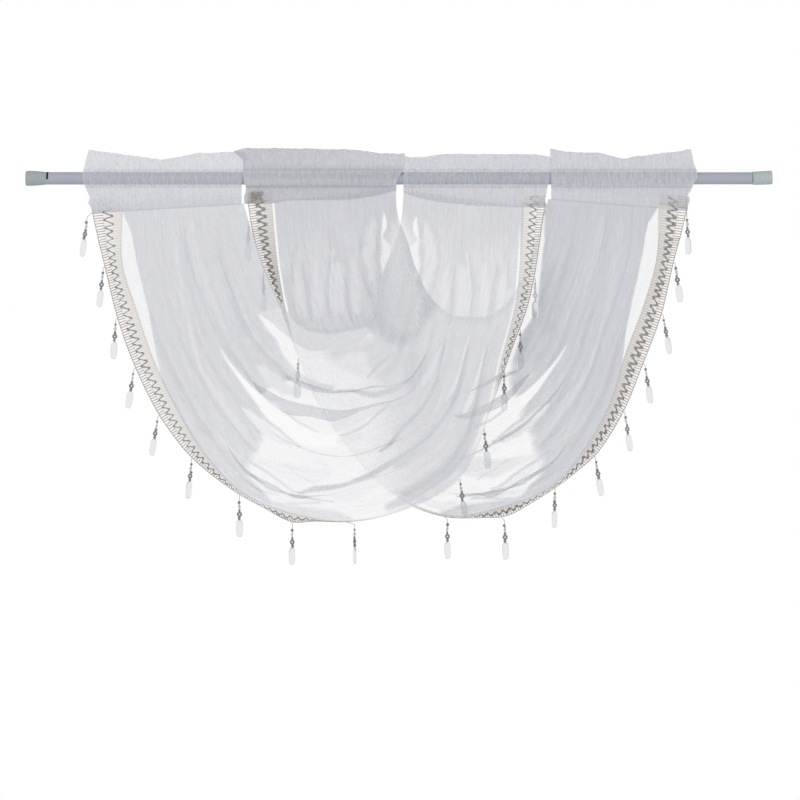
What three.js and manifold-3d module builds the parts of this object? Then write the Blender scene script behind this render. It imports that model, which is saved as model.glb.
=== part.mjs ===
// Two sheer waterfall valances that share one telescoping tension rod.
// Millimetres, +Z up. The origin is the centre of the left end cap's flat face, on the rod's axis:
// +X runs along the rod, and the front of the valances faces -Y.
import * as THREE from 'three';
import { mergeVertices } from 'three/addons/utils/BufferGeometryUtils.js';
import Module from 'manifold-3d';

const wasm = await Module();
wasm.setup();

// Driving dimensions
const rod = {
  length: 1194,
  outerDiameter: 20.4,
  outerWall: 0.7,
  innerDiameter: 18.4,
  innerWall: 0.8,
  stepAt: 919,
  overlap: 130,
  sides: 24,
};
const endCap = { length: 31, diameter: 24, mouthDiameter: 23.2, chamfer: 1.5, endWall: 4, gap: 0.3 };
const cloth = {
  thickness: 1.2,
  steps: 32,
  rows: 26,
  neckSettle: 110,
  foldFade: 0.32,
  foldMean: 6,
  droop: 0.5,
};
const pocket = {
  boreRadius: 11.05,
  boreSides: 12,
  frillThickness: 2.6,
  seamThickness: 1.6,
  seamGap: 0.9,
  insetReach: 45,
  stations: 17,
  frillWave: 4.5,
  frillWaveLength: 47,
};
const braid = { width: 36, thickness: 1.2, seamGap: 1.7, steps: 56, rootInset: 2.5 };
const pendantLean = 0.11;

// Front half of a pocket's section, from the frill's root down to the seam's root, measured from the rod's axis
const pocketSection = [
  { height: 13.6, depth: 2.2 },
  { height: 9, depth: 9.5 },
  { height: 3, depth: 12.7 },
  { height: -3, depth: 12.7 },
  { height: -9, depth: 9.5 },
  { height: -13.6, depth: 2.0 },
];

// A bead pendant from its root down: the distance along its thread and the radius there
const pendantSections = [
  { along: 0, radius: 0.8 },
  { along: 9, radius: 0.8 },
  { along: 12, radius: 2.2 },
  { along: 16, radius: 0.9 },
  { along: 21, radius: 2.6 },
  { along: 26, radius: 1.0 },
  { along: 31, radius: 4.4 },
  { along: 36, radius: 1.0 },
  { along: 43, radius: 1.6 },
  { along: 48, radius: 4.8 },
  { along: 68, radius: 5.4 },
  { along: 76, radius: 2.4 },
];

// Headings in order along the rod. left and right are the ends at the rod, and the insets draw them in (or out,
// if negative) at the frill's top and at the seam. crest is the frill's top edge: share of the width and height.
const headings = [
  {
    name: 'valance_1_heading_left', left: 90, right: 347.4, topInset: [15, 0], seamInset: [12, 0],
    crest: [[0, 45], [0.13, 41], [0.34, 34], [0.49, 29.5], [0.7, 40], [1, 42]],
  },
  {
    name: 'valance_2_heading_left', left: 348.8, right: 596, topInset: [0, -8], seamInset: [4, 2.5],
    crest: [[0, 45], [0.06, 48], [0.35, 47.5], [0.73, 45], [0.86, 39.5], [1, 39]],
  },
  {
    name: 'valance_1_heading_right', left: 604.5, right: 838.4, topInset: [1.6, 1.6], seamInset: [0, 5],
    crest: [[0, 34], [0.13, 33.5], [0.27, 38.5], [0.9, 38], [1, 34]],
  },
  {
    name: 'valance_2_heading_right', left: 840.2, right: 1072, topInset: [0, 12], seamInset: [1.4, 11],
    crest: [[0, 47], [0.17, 40.5], [0.33, 41], [0.42, 36], [0.52, 31], [0.6, 34.5], [0.82, 40.5], [1, 46]],
  },
];

// Valances: each hangs depth behind the rod's axis (in front, if negative), reached within neckSettle below its
// seams at the neck and within hemSettle, left and right, at the hem.
// The sections follow each other from the left heading round the swag to the right one. In a section the cloth
// runs from the neck to the hem, and the braid from the hem to its outer edge: X and Z of each.
// Folds are ridges that run along the swag: their place between neck and hem at the left, at the bottom and at
// the right, their depth, and their half width as a share of the cloth. pendants are places along the sections.
const valances = [
  {
    name: 'valance_1',
    headings: ['valance_1_heading_left', 'valance_1_heading_right'],
    depth: -40,
    hemSettle: [240, 110],
    sections: [
      { neck: [348, -40], hem: [152, -51], edge: [106, -54] },
      { neck: [364, -92], hem: [157, -137], edge: [126, -142] },
      { neck: [383, -145], hem: [183, -219], edge: [148, -225] },
      { neck: [408, -200], hem: [210, -294], edge: [177, -304] },
      { neck: [434, -232], hem: [240, -371], edge: [215, -380] },
      { neck: [455, -243], hem: [284, -438], edge: [266, -450] },
      { neck: [468, -246], hem: [348, -488], edge: [336, -497] },
      { neck: [480, -247], hem: [420, -532], edge: [428, -552] },
      { neck: [500, -245], hem: [511, -542], edge: [519, -550] },
      { neck: [524, -240], hem: [599, -524], edge: [607, -531] },
      { neck: [545, -230], hem: [676, -473], edge: [687, -476] },
      { neck: [557, -196], hem: [735, -372], edge: [740, -374] },
      { neck: [573, -150], hem: [762, -291], edge: [773, -286] },
      { neck: [592, -86], hem: [783, -195], edge: [805, -195] },
      { neck: [605, -19], hem: [794, -48], edge: [831, -48] },
    ],
    folds: [
      { left: 0.1, low: 0.09, right: 0.08, depth: 11, spread: 0.05 },
      { left: 0.26, low: 0.25, right: 0.22, depth: 18, spread: 0.055 },
      { left: 0.46, low: 0.4, right: 0.42, depth: 22, spread: 0.06 },
      { left: 0.6, low: 0.58, right: 0.57, depth: 17, spread: 0.06 },
      { left: 0.72, low: 0.71, right: 0.72, depth: 12, spread: 0.05 },
      { left: 0.86, low: 0.85, right: 0.87, depth: 17, spread: 0.05 },
    ],
    pendants: [0, 1, 2, 3, 4, 5, 6, 7, 8, 9, 10, 10.75, 11.75, 12.5, 13.25, 13.75],
  },
  {
    name: 'valance_2',
    headings: ['valance_2_heading_left', 'valance_2_heading_right'],
    depth: 22,
    hemSettle: [160, 240],
    sections: [
      { neck: [592, -16], hem: [394, -41], edge: [357, -44] },
      { neck: [599, -59], hem: [407, -144], edge: [373, -147] },
      { neck: [610, -99], hem: [424, -224], edge: [404, -224] },
      { neck: [624, -144], hem: [442, -288], edge: [431, -297] },
      { neck: [647, -190], hem: [474, -368], edge: [468, -380] },
      { neck: [679, -219], hem: [575, -496], edge: [567, -507] },
      { neck: [714, -224], hem: [672, -532], edge: [672, -544] },
      { neck: [740, -222], hem: [759, -529], edge: [765, -547] },
      { neck: [759, -212], hem: [837, -486], edge: [847, -499] },
      { neck: [773, -198], hem: [893, -433], edge: [912, -446] },
      { neck: [786, -177], hem: [932, -358], edge: [957, -372] },
      { neck: [799, -147], hem: [957, -284], edge: [989, -296] },
      { neck: [815, -107], hem: [984, -209], edge: [1019, -217] },
      { neck: [833, -67], hem: [1007, -129], edge: [1038, -134] },
      { neck: [844, -30], hem: [1013, -44], edge: [1058, -51] },
    ],
    folds: [
      { left: 0.09, low: 0.1, right: 0.11, depth: 10, spread: 0.05 },
      { left: 0.24, low: 0.27, right: 0.25, depth: 16, spread: 0.055 },
      { left: 0.4, low: 0.43, right: 0.42, depth: 18, spread: 0.06 },
      { left: 0.56, low: 0.58, right: 0.6, depth: 15, spread: 0.06 },
      { left: 0.71, low: 0.72, right: 0.74, depth: 13, spread: 0.05 },
      { left: 0.86, low: 0.86, right: 0.88, depth: 14, spread: 0.05 },
    ],
    pendants: [0.25, 1, 2, 3, 4, 4.5, 5, 6, 7, 8, 9, 10, 11, 12, 13, 14],
  },
];

const finishes = {
  tube: new THREE.MeshStandardMaterial({ color: 0xa9b0bb, roughness: 0.4, metalness: 0.2 }),
  rubber: new THREE.MeshStandardMaterial({ color: 0xb9c2c2, roughness: 0.6 }),
  voile: new THREE.MeshStandardMaterial({ color: 0xf2f2f6, roughness: 0.9 }),
  braid: new THREE.MeshStandardMaterial({ color: 0xe1dcd4, roughness: 0.8 }),
};

const smooth = (x, from, to) => THREE.MathUtils.smoothstep(x, from, to);

// A closed geometry from its points and triangles
function meshGeometry(points, triangles) {
  const geometry = new THREE.BufferGeometry();
  const numbers = points.flatMap((p) => [p.x, p.y, p.z]);
  geometry.setAttribute('position', new THREE.Float32BufferAttribute(numbers, 3));
  geometry.setIndex(triangles.flat());
  return geometry;
}

function toManifold(geometry) {
  const bare = geometry.clone();
  bare.deleteAttribute('normal');
  bare.deleteAttribute('uv');
  const welded = mergeVertices(bare);
  return new wasm.Manifold(new wasm.Mesh({
    numProp: 3,
    vertProperties: new Float32Array(welded.attributes.position.array),
    triVerts: new Uint32Array(welded.index.array),
  }));
}

function fromManifold(solid) {
  const mesh = solid.getMesh();
  const geometry = new THREE.BufferGeometry();
  geometry.setAttribute('position', new THREE.Float32BufferAttribute(mesh.vertProperties, 3));
  geometry.setIndex(Array.from(mesh.triVerts));
  return geometry;
}

// Two triangles for a quad whose corners run counter-clockwise as seen from outside
const quad = (a, b, c, d) => [[a, b, c], [a, c, d]];

// A solid of revolution about the X axis, from a profile of [radius, along]
function turned(profile) {
  const points = profile.map(([radius, along]) => new THREE.Vector2(radius, along));
  return new THREE.LatheGeometry(points, rod.sides).rotateZ(-Math.PI / 2);
}

function tubeGeometry(diameter, wall, start, end) {
  const outer = diameter / 2;
  const inner = outer - wall;
  return turned([[outer, start], [outer, end], [inner, end], [inner, start], [outer, start]]);
}

// A cap with a flat end face at zero and a blind socket for the tube, open towards +X
function capGeometry(tubeDiameter) {
  const { length, diameter, mouthDiameter, chamfer, endWall, gap } = endCap;
  const socket = tubeDiameter / 2 + gap;
  return turned([
    [0, 0], [diameter / 2 - chamfer, 0], [diameter / 2, chamfer], [mouthDiameter / 2, length],
    [socket, length], [socket, endWall], [0, endWall],
  ]);
}

// Height of a frill's top edge at a share of its heading's width, from the crest's [share, height] pairs
function crestHeight(crest, share) {
  const next = Math.max(1, crest.findIndex(([at]) => at >= share));
  const [from, low] = crest[next - 1];
  const [to, high] = crest[next];
  return THREE.MathUtils.lerp(low, high, smooth(share, from, to));
}

// Height of the seam under a heading: it slopes from the neck to the hem, and on to the braid's outer edge
function seamHeight(heading, x) {
  const valance = valances.find((v) => v.headings.includes(heading.name));
  const { neck, hem, edge } = valance.sections.at(heading.name === valance.headings[0] ? 0 : -1);
  const share = (x - neck[0]) / (hem[0] - neck[0]);
  const [from, to] = share < 1 ? [neck, hem] : [hem, edge];
  const part = THREE.MathUtils.clamp((x - from[0]) / (to[0] - from[0]), 0, 1);
  return THREE.MathUtils.lerp(from[1], to[1], part);
}

// One closed sleeve round the rod, with the frill standing above it and the sewn layers below
function headingGeometry(heading) {
  const points = [];
  const triangles = [];
  const placed = (share, depth, height) => {
    const inset = height > 0 ? heading.topInset : heading.seamInset;
    const reach = Math.min(1, Math.abs(height) / pocket.insetReach) ** 2;
    const left = heading.left + inset[0] * reach;
    const right = heading.right - inset[1] * reach;
    return new THREE.Vector3(THREE.MathUtils.lerp(left, right, share), depth, height);
  };
  const outline = (share) => {
    const x = THREE.MathUtils.lerp(heading.left, heading.right, share);
    const top = crestHeight(heading.crest, share);
    const seamEnds = [heading.left + heading.seamInset[0], heading.right - heading.seamInset[1]];
    const seam = seamHeight(heading, THREE.MathUtils.lerp(...seamEnds, share)) + pocket.seamGap;
    const wave = pocket.frillWave * Math.sin((2 * Math.PI * x) / pocket.frillWaveLength);
    const frill = pocket.frillThickness / 2;
    const sewn = pocket.seamThickness / 2;
    const front = [
      { height: top, depth: frill, shift: wave },
      { height: (top + pocketSection[0].height) / 2, depth: frill, shift: wave / 2 },
      ...pocketSection.map((row) => ({ ...row, shift: 0 })),
      { height: seam, depth: sewn, shift: 0 },
    ];
    const back = front.toReversed().map((row) => ({ ...row, depth: -row.depth }));
    return [...front, ...back].map((row) => placed(share, row.shift - row.depth, row.height));
  };
  const bore = (share) => Array.from({ length: pocket.boreSides }, (_, k) => {
    const turn = (2 * Math.PI * (k + 0.5)) / pocket.boreSides;
    return placed(share, -pocket.boreRadius * Math.sin(turn), pocket.boreRadius * Math.cos(turn));
  });
  const outerCount = outline(0).length;
  const ringCount = outerCount + pocket.boreSides;
  for (let i = 0; i < pocket.stations; i += 1) {
    const share = i / (pocket.stations - 1);
    points.push(...outline(share), ...bore(share));
  }
  for (let i = 0; i + 1 < pocket.stations; i += 1) {
    for (let k = 0; k < ringCount; k += 1) {
      const isBore = k >= outerCount;
      const first = isBore ? outerCount : 0;
      const count = isBore ? pocket.boreSides : outerCount;
      const next = first + ((k - first + 1) % count);
      const [a, b] = [i * ringCount + k, i * ringCount + next];
      const corners = [a, b, b + ringCount, a + ringCount];
      triangles.push(...quad(...(isBore ? corners.toReversed() : corners)));
    }
  }
  const flat = (ring) => ring.map((p) => new THREE.Vector2(p.y, p.z));
  const last = (pocket.stations - 1) * ringCount;
  const capFaces = (share) => THREE.ShapeUtils.triangulateShape(flat(outline(share)), [flat(bore(share))]);
  triangles.push(...capFaces(0).map(([a, b, c]) => [a, c, b]));
  triangles.push(...capFaces(1).map(([a, b, c]) => [last + a, last + b, last + c]));
  return meshGeometry(points, triangles);
}

// Smooth curve through one column of the sections, in the XZ plane
function sectionCurve(valance, column) {
  const points = valance.sections.map((row) => new THREE.Vector3(row[column][0], 0, row[column][1]));
  return new THREE.CatmullRomCurve3(points, false, 'centripetal');
}

// Forward reach of all the folds at a place on the cloth
function foldDepth(valance, along, across) {
  const fade = smooth(Math.min(along, 1 - along), 0, cloth.foldFade);
  const reach = valance.folds.reduce((sum, fold) => {
    const end = along < 0.5 ? fold.left : fold.right;
    const place = THREE.MathUtils.lerp(end, fold.low, smooth(Math.min(along, 1 - along), 0, 0.5));
    return sum + fold.depth * Math.exp(-(((across - place) / fold.spread) ** 2));
  }, 0);
  return fade * (reach - cloth.foldMean);
}

// The middle of the cloth: along runs from the left heading to the right one, and across from neck to hem
function clothPoint(valance, curves, along, across) {
  const at = (place) => curves.neck.getPoint(place).lerp(curves.hem.getPoint(place), across);
  const point = at(along);
  const drop = at(along < 0.5 ? 0 : 1).z - point.z;
  const fold = foldDepth(valance, along, across);
  const settle = THREE.MathUtils.lerp(cloth.neckSettle, valance.hemSettle[along < 0.5 ? 0 : 1], across);
  point.y = valance.depth * smooth(drop, 0, settle) - fold;
  point.z -= cloth.droop * fold;
  return point;
}

function valanceCurves(valance) {
  return Object.fromEntries(['neck', 'hem', 'edge'].map((column) => [column, sectionCurve(valance, column)]));
}

// The swagged cloth, as a sheet of even thickness
function clothGeometry(valance) {
  const curves = valanceCurves(valance);
  const { steps, rows, thickness } = cloth;
  const index = (i, j) => i * (rows + 1) + j;
  const middle = [];
  for (let i = 0; i <= steps; i += 1) {
    for (let j = 0; j <= rows; j += 1) middle.push(clothPoint(valance, curves, i / steps, j / rows));
  }
  const normals = middle.map((_, n) => {
    const [i, j] = [Math.floor(n / (rows + 1)), n % (rows + 1)];
    const alongWay = middle[index(Math.min(i + 1, steps), j)].clone().sub(middle[index(Math.max(i - 1, 0), j)]);
    const acrossWay = middle[index(i, Math.min(j + 1, rows))].clone().sub(middle[index(i, Math.max(j - 1, 0))]);
    return alongWay.cross(acrossWay).normalize();
  });
  const offset = (side) => middle.map((p, n) => p.clone().addScaledVector(normals[n], (side * thickness) / 2));
  const count = middle.length;
  const triangles = [];
  for (let i = 0; i < steps; i += 1) {
    for (let j = 0; j < rows; j += 1) {
      const corners = [index(i, j), index(i + 1, j), index(i + 1, j + 1), index(i, j + 1)];
      triangles.push(...quad(...corners), ...quad(...corners.toReversed().map((n) => n + count)));
    }
  }
  const rim = [];
  for (let i = 0; i < steps; i += 1) rim.push(index(i, 0));
  for (let j = 0; j < rows; j += 1) rim.push(index(steps, j));
  for (let i = steps; i > 0; i -= 1) rim.push(index(i, rows));
  for (let j = rows; j > 0; j -= 1) rim.push(index(0, j));
  rim.forEach((n, k) => {
    const next = rim[(k + 1) % rim.length];
    triangles.push(...quad(n, n + count, next + count, next));
  });
  return meshGeometry([...offset(1), ...offset(-1)], triangles);
}

// Inner and outer edge of the braid: where the sections show it narrower than it is, its outer edge is turned back
function braidEdges(valance, curves, along) {
  const hem = clothPoint(valance, curves, along, 1);
  const edge = curves.edge.getPoint(along);
  const outward = new THREE.Vector3(edge.x - hem.x, 0, edge.z - hem.z).normalize();
  const inner = hem.clone().addScaledVector(outward, braid.seamGap);
  const shown = Math.hypot(edge.x - inner.x, edge.z - inner.z);
  const turnedBack = Math.sqrt(Math.max(0, braid.width ** 2 - shown ** 2));
  const outer = new THREE.Vector3(edge.x, inner.y + turnedBack, edge.z);
  return { inner, outer };
}

// One bead pendant: a four-sided strand that leans towards the side it hangs on
function pendantGeometry(root, lean) {
  const way = new THREE.Vector3(lean, 0, -1).normalize();
  const sides = 4;
  const points = pendantSections.flatMap(({ along, radius }) => Array.from({ length: sides }, (_, k) => {
    const turn = (2 * Math.PI * k) / sides;
    return root.clone().addScaledVector(way, along).add(
      new THREE.Vector3(radius * Math.cos(turn), radius * Math.sin(turn), 0),
    );
  }));
  const triangles = [];
  for (let ring = 0; ring + 1 < pendantSections.length; ring += 1) {
    for (let k = 0; k < sides; k += 1) {
      const [a, b] = [ring * sides + k, ring * sides + ((k + 1) % sides)];
      triangles.push(...quad(a, a + sides, b + sides, b));
    }
  }
  const tip = (pendantSections.length - 1) * sides;
  triangles.push(...quad(0, 1, 2, 3), ...quad(tip + 3, tip + 2, tip + 1, tip));
  return meshGeometry(points, triangles);
}

// The braid strip with its pendants fused to the outer edge
function trimGeometry(valance) {
  const curves = valanceCurves(valance);
  const edges = Array.from({ length: braid.steps + 1 }, (_, i) => braidEdges(valance, curves, i / braid.steps));
  const points = edges.flatMap(({ inner, outer }, i) => {
    const before = edges[Math.max(i - 1, 0)];
    const after = edges[Math.min(i + 1, braid.steps)];
    const alongWay = after.inner.clone().add(after.outer).sub(before.inner).sub(before.outer);
    const normal = alongWay.cross(outer.clone().sub(inner)).normalize().multiplyScalar(braid.thickness / 2);
    return [
      inner.clone().add(normal), outer.clone().add(normal), outer.clone().sub(normal), inner.clone().sub(normal),
    ];
  });
  const triangles = [];
  for (let i = 0; i < braid.steps; i += 1) {
    for (let k = 0; k < 4; k += 1) {
      const [a, b] = [i * 4 + k, i * 4 + ((k + 1) % 4)];
      triangles.push(...quad(a, a + 4, b + 4, b));
    }
  }
  const end = braid.steps * 4;
  triangles.push(...quad(0, 1, 2, 3), ...quad(end + 3, end + 2, end + 1, end));
  const strip = toManifold(meshGeometry(points, triangles));
  const lastSection = valance.sections.length - 1;
  const trim = valance.pendants.reduce((solid, place) => {
    const along = place / lastSection;
    const { inner, outer } = braidEdges(valance, curves, along);
    const inward = inner.clone().sub(outer).normalize();
    const lean = along < 0.5 ? -pendantLean : pendantLean;
    return solid.add(toManifold(pendantGeometry(outer.addScaledVector(inward, braid.rootInset), lean)));
  }, strip);
  return fromManifold(trim);
}

const object = new THREE.Group();

function addPiece(name, geometry, material) {
  const mesh = new THREE.Mesh(geometry, material);
  mesh.name = name;
  object.add(mesh);
  return mesh;
}

const tubeStart = endCap.endWall + endCap.gap;
const tubeEnd = rod.length - tubeStart;
addPiece('rod_outer_tube', tubeGeometry(rod.outerDiameter, rod.outerWall, tubeStart, rod.stepAt), finishes.tube);
addPiece(
  'rod_inner_tube',
  tubeGeometry(rod.innerDiameter, rod.innerWall, rod.stepAt - rod.overlap, tubeEnd),
  finishes.tube,
);
addPiece('end_cap_left', capGeometry(rod.outerDiameter), finishes.rubber);
const rightCap = addPiece('end_cap_right', capGeometry(rod.innerDiameter), finishes.rubber);
rightCap.position.x = rod.length;
rightCap.rotation.z = Math.PI;
for (const heading of headings) addPiece(heading.name, headingGeometry(heading), finishes.voile);
for (const valance of valances) {
  addPiece(`${valance.name}_cloth`, clothGeometry(valance), finishes.voile);
  addPiece(`${valance.name}_braid`, trimGeometry(valance), finishes.braid);
}

export default object;
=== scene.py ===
import math
import bpy
import numpy as np
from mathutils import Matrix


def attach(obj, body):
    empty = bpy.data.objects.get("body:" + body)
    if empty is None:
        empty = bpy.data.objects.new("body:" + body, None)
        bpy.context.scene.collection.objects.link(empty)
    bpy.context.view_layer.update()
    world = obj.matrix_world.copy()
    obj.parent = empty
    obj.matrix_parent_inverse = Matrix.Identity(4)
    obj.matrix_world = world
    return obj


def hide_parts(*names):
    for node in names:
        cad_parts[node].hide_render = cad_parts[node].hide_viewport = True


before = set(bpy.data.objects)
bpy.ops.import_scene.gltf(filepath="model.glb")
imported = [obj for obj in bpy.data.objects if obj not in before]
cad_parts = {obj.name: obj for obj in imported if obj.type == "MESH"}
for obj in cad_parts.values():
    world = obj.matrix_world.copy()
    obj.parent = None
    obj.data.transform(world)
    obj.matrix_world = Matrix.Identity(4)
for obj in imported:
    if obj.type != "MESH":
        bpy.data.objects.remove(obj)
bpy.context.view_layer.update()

# Two sheer waterfall valances on a tension rod. Sizes are in millimetres in the CAD frame:
# X along the rod, Z up, the front faces -Y.
mm = 0.001
draws = np.random.default_rng(11)


def linearColor(hexText):
    parts = [int(hexText[k:k + 2], 16) / 255 for k in (1, 3, 5)]
    return tuple(c / 12.92 if c <= 0.04045 else ((c + 0.055) / 1.055) ** 2.4 for c in parts) + (1.0,)


def addNode(tree, kind, settings=None, links=None):
    node = tree.nodes.new(kind)
    for key, value in (settings or {}).items():
        if isinstance(key, str) and hasattr(node, key):
            setattr(node, key, value)
        else:
            node.inputs[key].default_value = value
    for key, source in (links or {}).items():
        tree.links.new(source, node.inputs[key])
    return node


def startMaterial(name, shaderSettings):
    material = bpy.data.materials.new(name)
    material.use_nodes = True
    tree = material.node_tree
    tree.nodes.clear()
    shader = addNode(tree, "ShaderNodeBsdfPrincipled", shaderSettings)
    addNode(tree, "ShaderNodeOutputMaterial", None, {"Surface": shader.outputs["BSDF"]})
    return material, tree, shader


def smoothStep(value, low, high):
    share = np.clip((value - low) / (high - low), 0, 1)
    return share * share * (3 - 2 * share)


def readTable(rows, at, column=1):
    rows = np.asarray(sorted(rows), float)
    return np.interp(at, rows[:, 0], rows[:, column])


def gridFaces(rows, columns, wrap=False):
    index = np.arange(rows * columns).reshape(rows, columns)
    if wrap:  # the last column joins the first
        index = np.hstack([index, index[:, :1]])
    quads = np.stack([index[:-1, :-1], index[1:, :-1], index[1:, 1:], index[:-1, 1:]], axis=-1)
    return quads.reshape(-1, 4)


def meshPiece(name, parts, materials):
    # parts: dictionaries with points (mm), faces, and where needed material, uv and layers
    points, faces, slots, uvs, layers = [], [], [], [], []
    count = 0
    for part in parts:
        size = len(part["points"])
        points.append(np.asarray(part["points"], float) * mm)
        shift = np.asarray(part["faces"]) + count
        faces.extend(shift.tolist())
        slots.extend([part.get("material", 0)] * len(shift))
        uvs.append(np.asarray(part.get("uv", np.zeros((size, 2))), float))
        layers.append(np.broadcast_to(np.asarray(part.get("layers", 1.0), float), (size,)))
        count += size
    mesh = bpy.data.meshes.new(name)
    mesh.from_pydata(np.vstack(points).tolist(), [], faces)
    mesh.polygons.foreach_set("material_index", slots)
    mesh.polygons.foreach_set("use_smooth", [True] * len(faces))
    corners = np.empty(len(mesh.loops), np.int32)
    mesh.loops.foreach_get("vertex_index", corners)
    mesh.uv_layers.new(name="clothMap").data.foreach_set("uv", np.vstack(uvs)[corners].ravel())
    mesh.attributes.new("layers", "FLOAT", "POINT").data.foreach_set("value", np.concatenate(layers))
    for material in materials:
        mesh.materials.append(material)
    mesh.validate()
    piece = bpy.data.objects.new(name, mesh)
    bpy.context.collection.objects.link(piece)
    return piece


def surfaceArea(points, faces):
    corners = points.reshape(-1, 3)[faces] * mm
    crossed = np.cross(corners[:, 2] - corners[:, 0], corners[:, 3] - corners[:, 1])
    return 0.5 * np.linalg.norm(crossed, axis=1).sum()


def keep(piece, slot, *nodes):
    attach(piece, "root")
    if nodes:
        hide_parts(*nodes)


def deselectAll():
    for thing in bpy.context.selected_objects:
        thing.select_set(False)


def perMetre(size):
    return 1000 / size  # a noise texture's scale for a pattern of this size in mm


def waveScale(pitch):
    return perMetre(pitch) / 20 * 2 * math.pi  # a wave texture repeats every 2 pi / 20 units


def mottleColor(tree, shader, size, detail, dark, light):
    # base colour that wanders between two tones; returns its pattern
    place = addNode(tree, "ShaderNodeTexCoord")
    pattern = addNode(tree, "ShaderNodeTexNoise", {"Scale": perMetre(size), "Detail": detail},
                      {"Vector": place.outputs["Object"]})
    tone = addNode(tree, "ShaderNodeMix", {"data_type": "RGBA", 6: linearColor(dark), 7: linearColor(light)},
                   {"Factor": pattern.outputs["Fac"]})
    tree.links.new(tone.outputs[2], shader.inputs["Base Color"])
    return pattern.outputs["Fac"]


# Crinkled voile: a sheer plain weave. The more layers lie over each other, the less light comes through.
# Crinkles run with the drape. They and the weave's grain are drawn coarser than real so that they show.
voileLook = {"oneLayerClear": 0.73, "crinkleWidth": 3.4, "crinkleLength": 22, "grainPitch": 2.6, "grainShare": 0.16,
             "noiseRange": (0.3, 0.7), "bump": 0.25, "bumpDepth": 0.001}


def makeVoile(name, color, crinkleShare):
    look = voileLook
    low, high = look["noiseRange"]
    material, tree, shader = startMaterial(name, {
        "Base Color": linearColor(color), "Roughness": 0.85, "Specular IOR Level": 0.1})
    place = addNode(tree, "ShaderNodeUVMap", {"uv_map": "clothMap"})
    stretched = addNode(tree, "ShaderNodeMapping", {
        "Scale": (perMetre(look["crinkleLength"]), perMetre(look["crinkleWidth"]), 1)}, {"Vector": place.outputs[0]})
    crinkle = addNode(tree, "ShaderNodeTexNoise", {
        "noise_dimensions": "2D", "Scale": 1.0, "Detail": 2.5, "Roughness": 0.6, "Distortion": 0.4},
        {"Vector": stretched.outputs[0]})
    grain = addNode(tree, "ShaderNodeTexNoise", {
        "noise_dimensions": "2D", "Scale": perMetre(look["grainPitch"]), "Detail": 1.0},
        {"Vector": place.outputs[0]})
    layers = addNode(tree, "ShaderNodeAttribute", {"attribute_name": "layers"})
    count = layers.outputs["Fac"]
    for pattern, share in ((crinkle, crinkleShare), (grain, look["grainShare"])):
        spread = addNode(tree, "ShaderNodeMapRange", {
            "From Min": low, "From Max": high, "To Min": 1 - share, "To Max": 1 + share},
            {"Value": pattern.outputs[0]})
        uneven = addNode(tree, "ShaderNodeMath", {"operation": "MULTIPLY"}, {0: count, 1: spread.outputs[0]})
        count = uneven.outputs[0]
    clear = addNode(tree, "ShaderNodeMath", {"operation": "POWER", 0: look["oneLayerClear"]}, {1: count})
    cover = addNode(tree, "ShaderNodeMath", {"operation": "SUBTRACT", 0: 1.0}, {1: clear.outputs[0]})
    tree.links.new(cover.outputs[0], shader.inputs["Alpha"])
    bump = addNode(tree, "ShaderNodeBump", {"Strength": look["bump"], "Distance": look["bumpDepth"]},
                   {"Height": crinkle.outputs[0]})
    tree.links.new(bump.outputs[0], shader.inputs["Normal"])
    return material


# Cotton braid: an open cream net with ribs across it. Its layers attribute is the share of light that it stops,
# most in the band sewn to the hem.
braidLook = {"light": "#f4efea", "dark": "#e5ded8", "ribPitch": 4.4, "fuzz": 1.5, "gapCover": 0.75, "bump": 0.5,
             "bumpDepth": 0.0008}


def makeBraidTape():
    look = braidLook
    material, tree, shader = startMaterial("cream_cotton_braid", {"Roughness": 0.8, "Specular IOR Level": 0.2})
    place = addNode(tree, "ShaderNodeUVMap", {"uv_map": "clothMap"})
    ribs = addNode(tree, "ShaderNodeTexWave", {
        "wave_type": "BANDS", "bands_direction": "X", "Scale": waveScale(look["ribPitch"]),
        "Distortion": 0.8, "Detail": 1.0, "Detail Scale": 2.0}, {"Vector": place.outputs[0]})
    fuzz = addNode(tree, "ShaderNodeTexNoise", {"Scale": perMetre(look["fuzz"]), "Detail": 2.0},
                   {"Vector": place.outputs[0]})
    tone = addNode(tree, "ShaderNodeMix", {
        "data_type": "RGBA", 6: linearColor(look["light"]), 7: linearColor(look["dark"])},
        {"Factor": ribs.outputs["Fac"]})
    tree.links.new(tone.outputs[2], shader.inputs["Base Color"])
    layers = addNode(tree, "ShaderNodeAttribute", {"attribute_name": "layers"})
    threads = addNode(tree, "ShaderNodeMapRange", {"To Min": look["gapCover"], "To Max": 1.0},
                      {"Value": ribs.outputs["Fac"]})
    cover = addNode(tree, "ShaderNodeMath", {"operation": "MULTIPLY"},
                    {0: layers.outputs["Fac"], 1: threads.outputs[0]})
    tree.links.new(cover.outputs[0], shader.inputs["Alpha"])
    both = addNode(tree, "ShaderNodeMath", {"operation": "ADD"}, {0: ribs.outputs["Fac"], 1: fuzz.outputs["Fac"]})
    bump = addNode(tree, "ShaderNodeBump", {"Strength": look["bump"], "Distance": look["bumpDepth"]},
                   {"Height": both.outputs[0]})
    tree.links.new(bump.outputs[0], shader.inputs["Normal"])
    return material


# Twisted thread: a soft sheen, with light and dark plies along it. ply is their pitch in mm, coarser than real.
threadLook = {"bump": 0.4, "bumpDepth": 0.0004}


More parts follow.
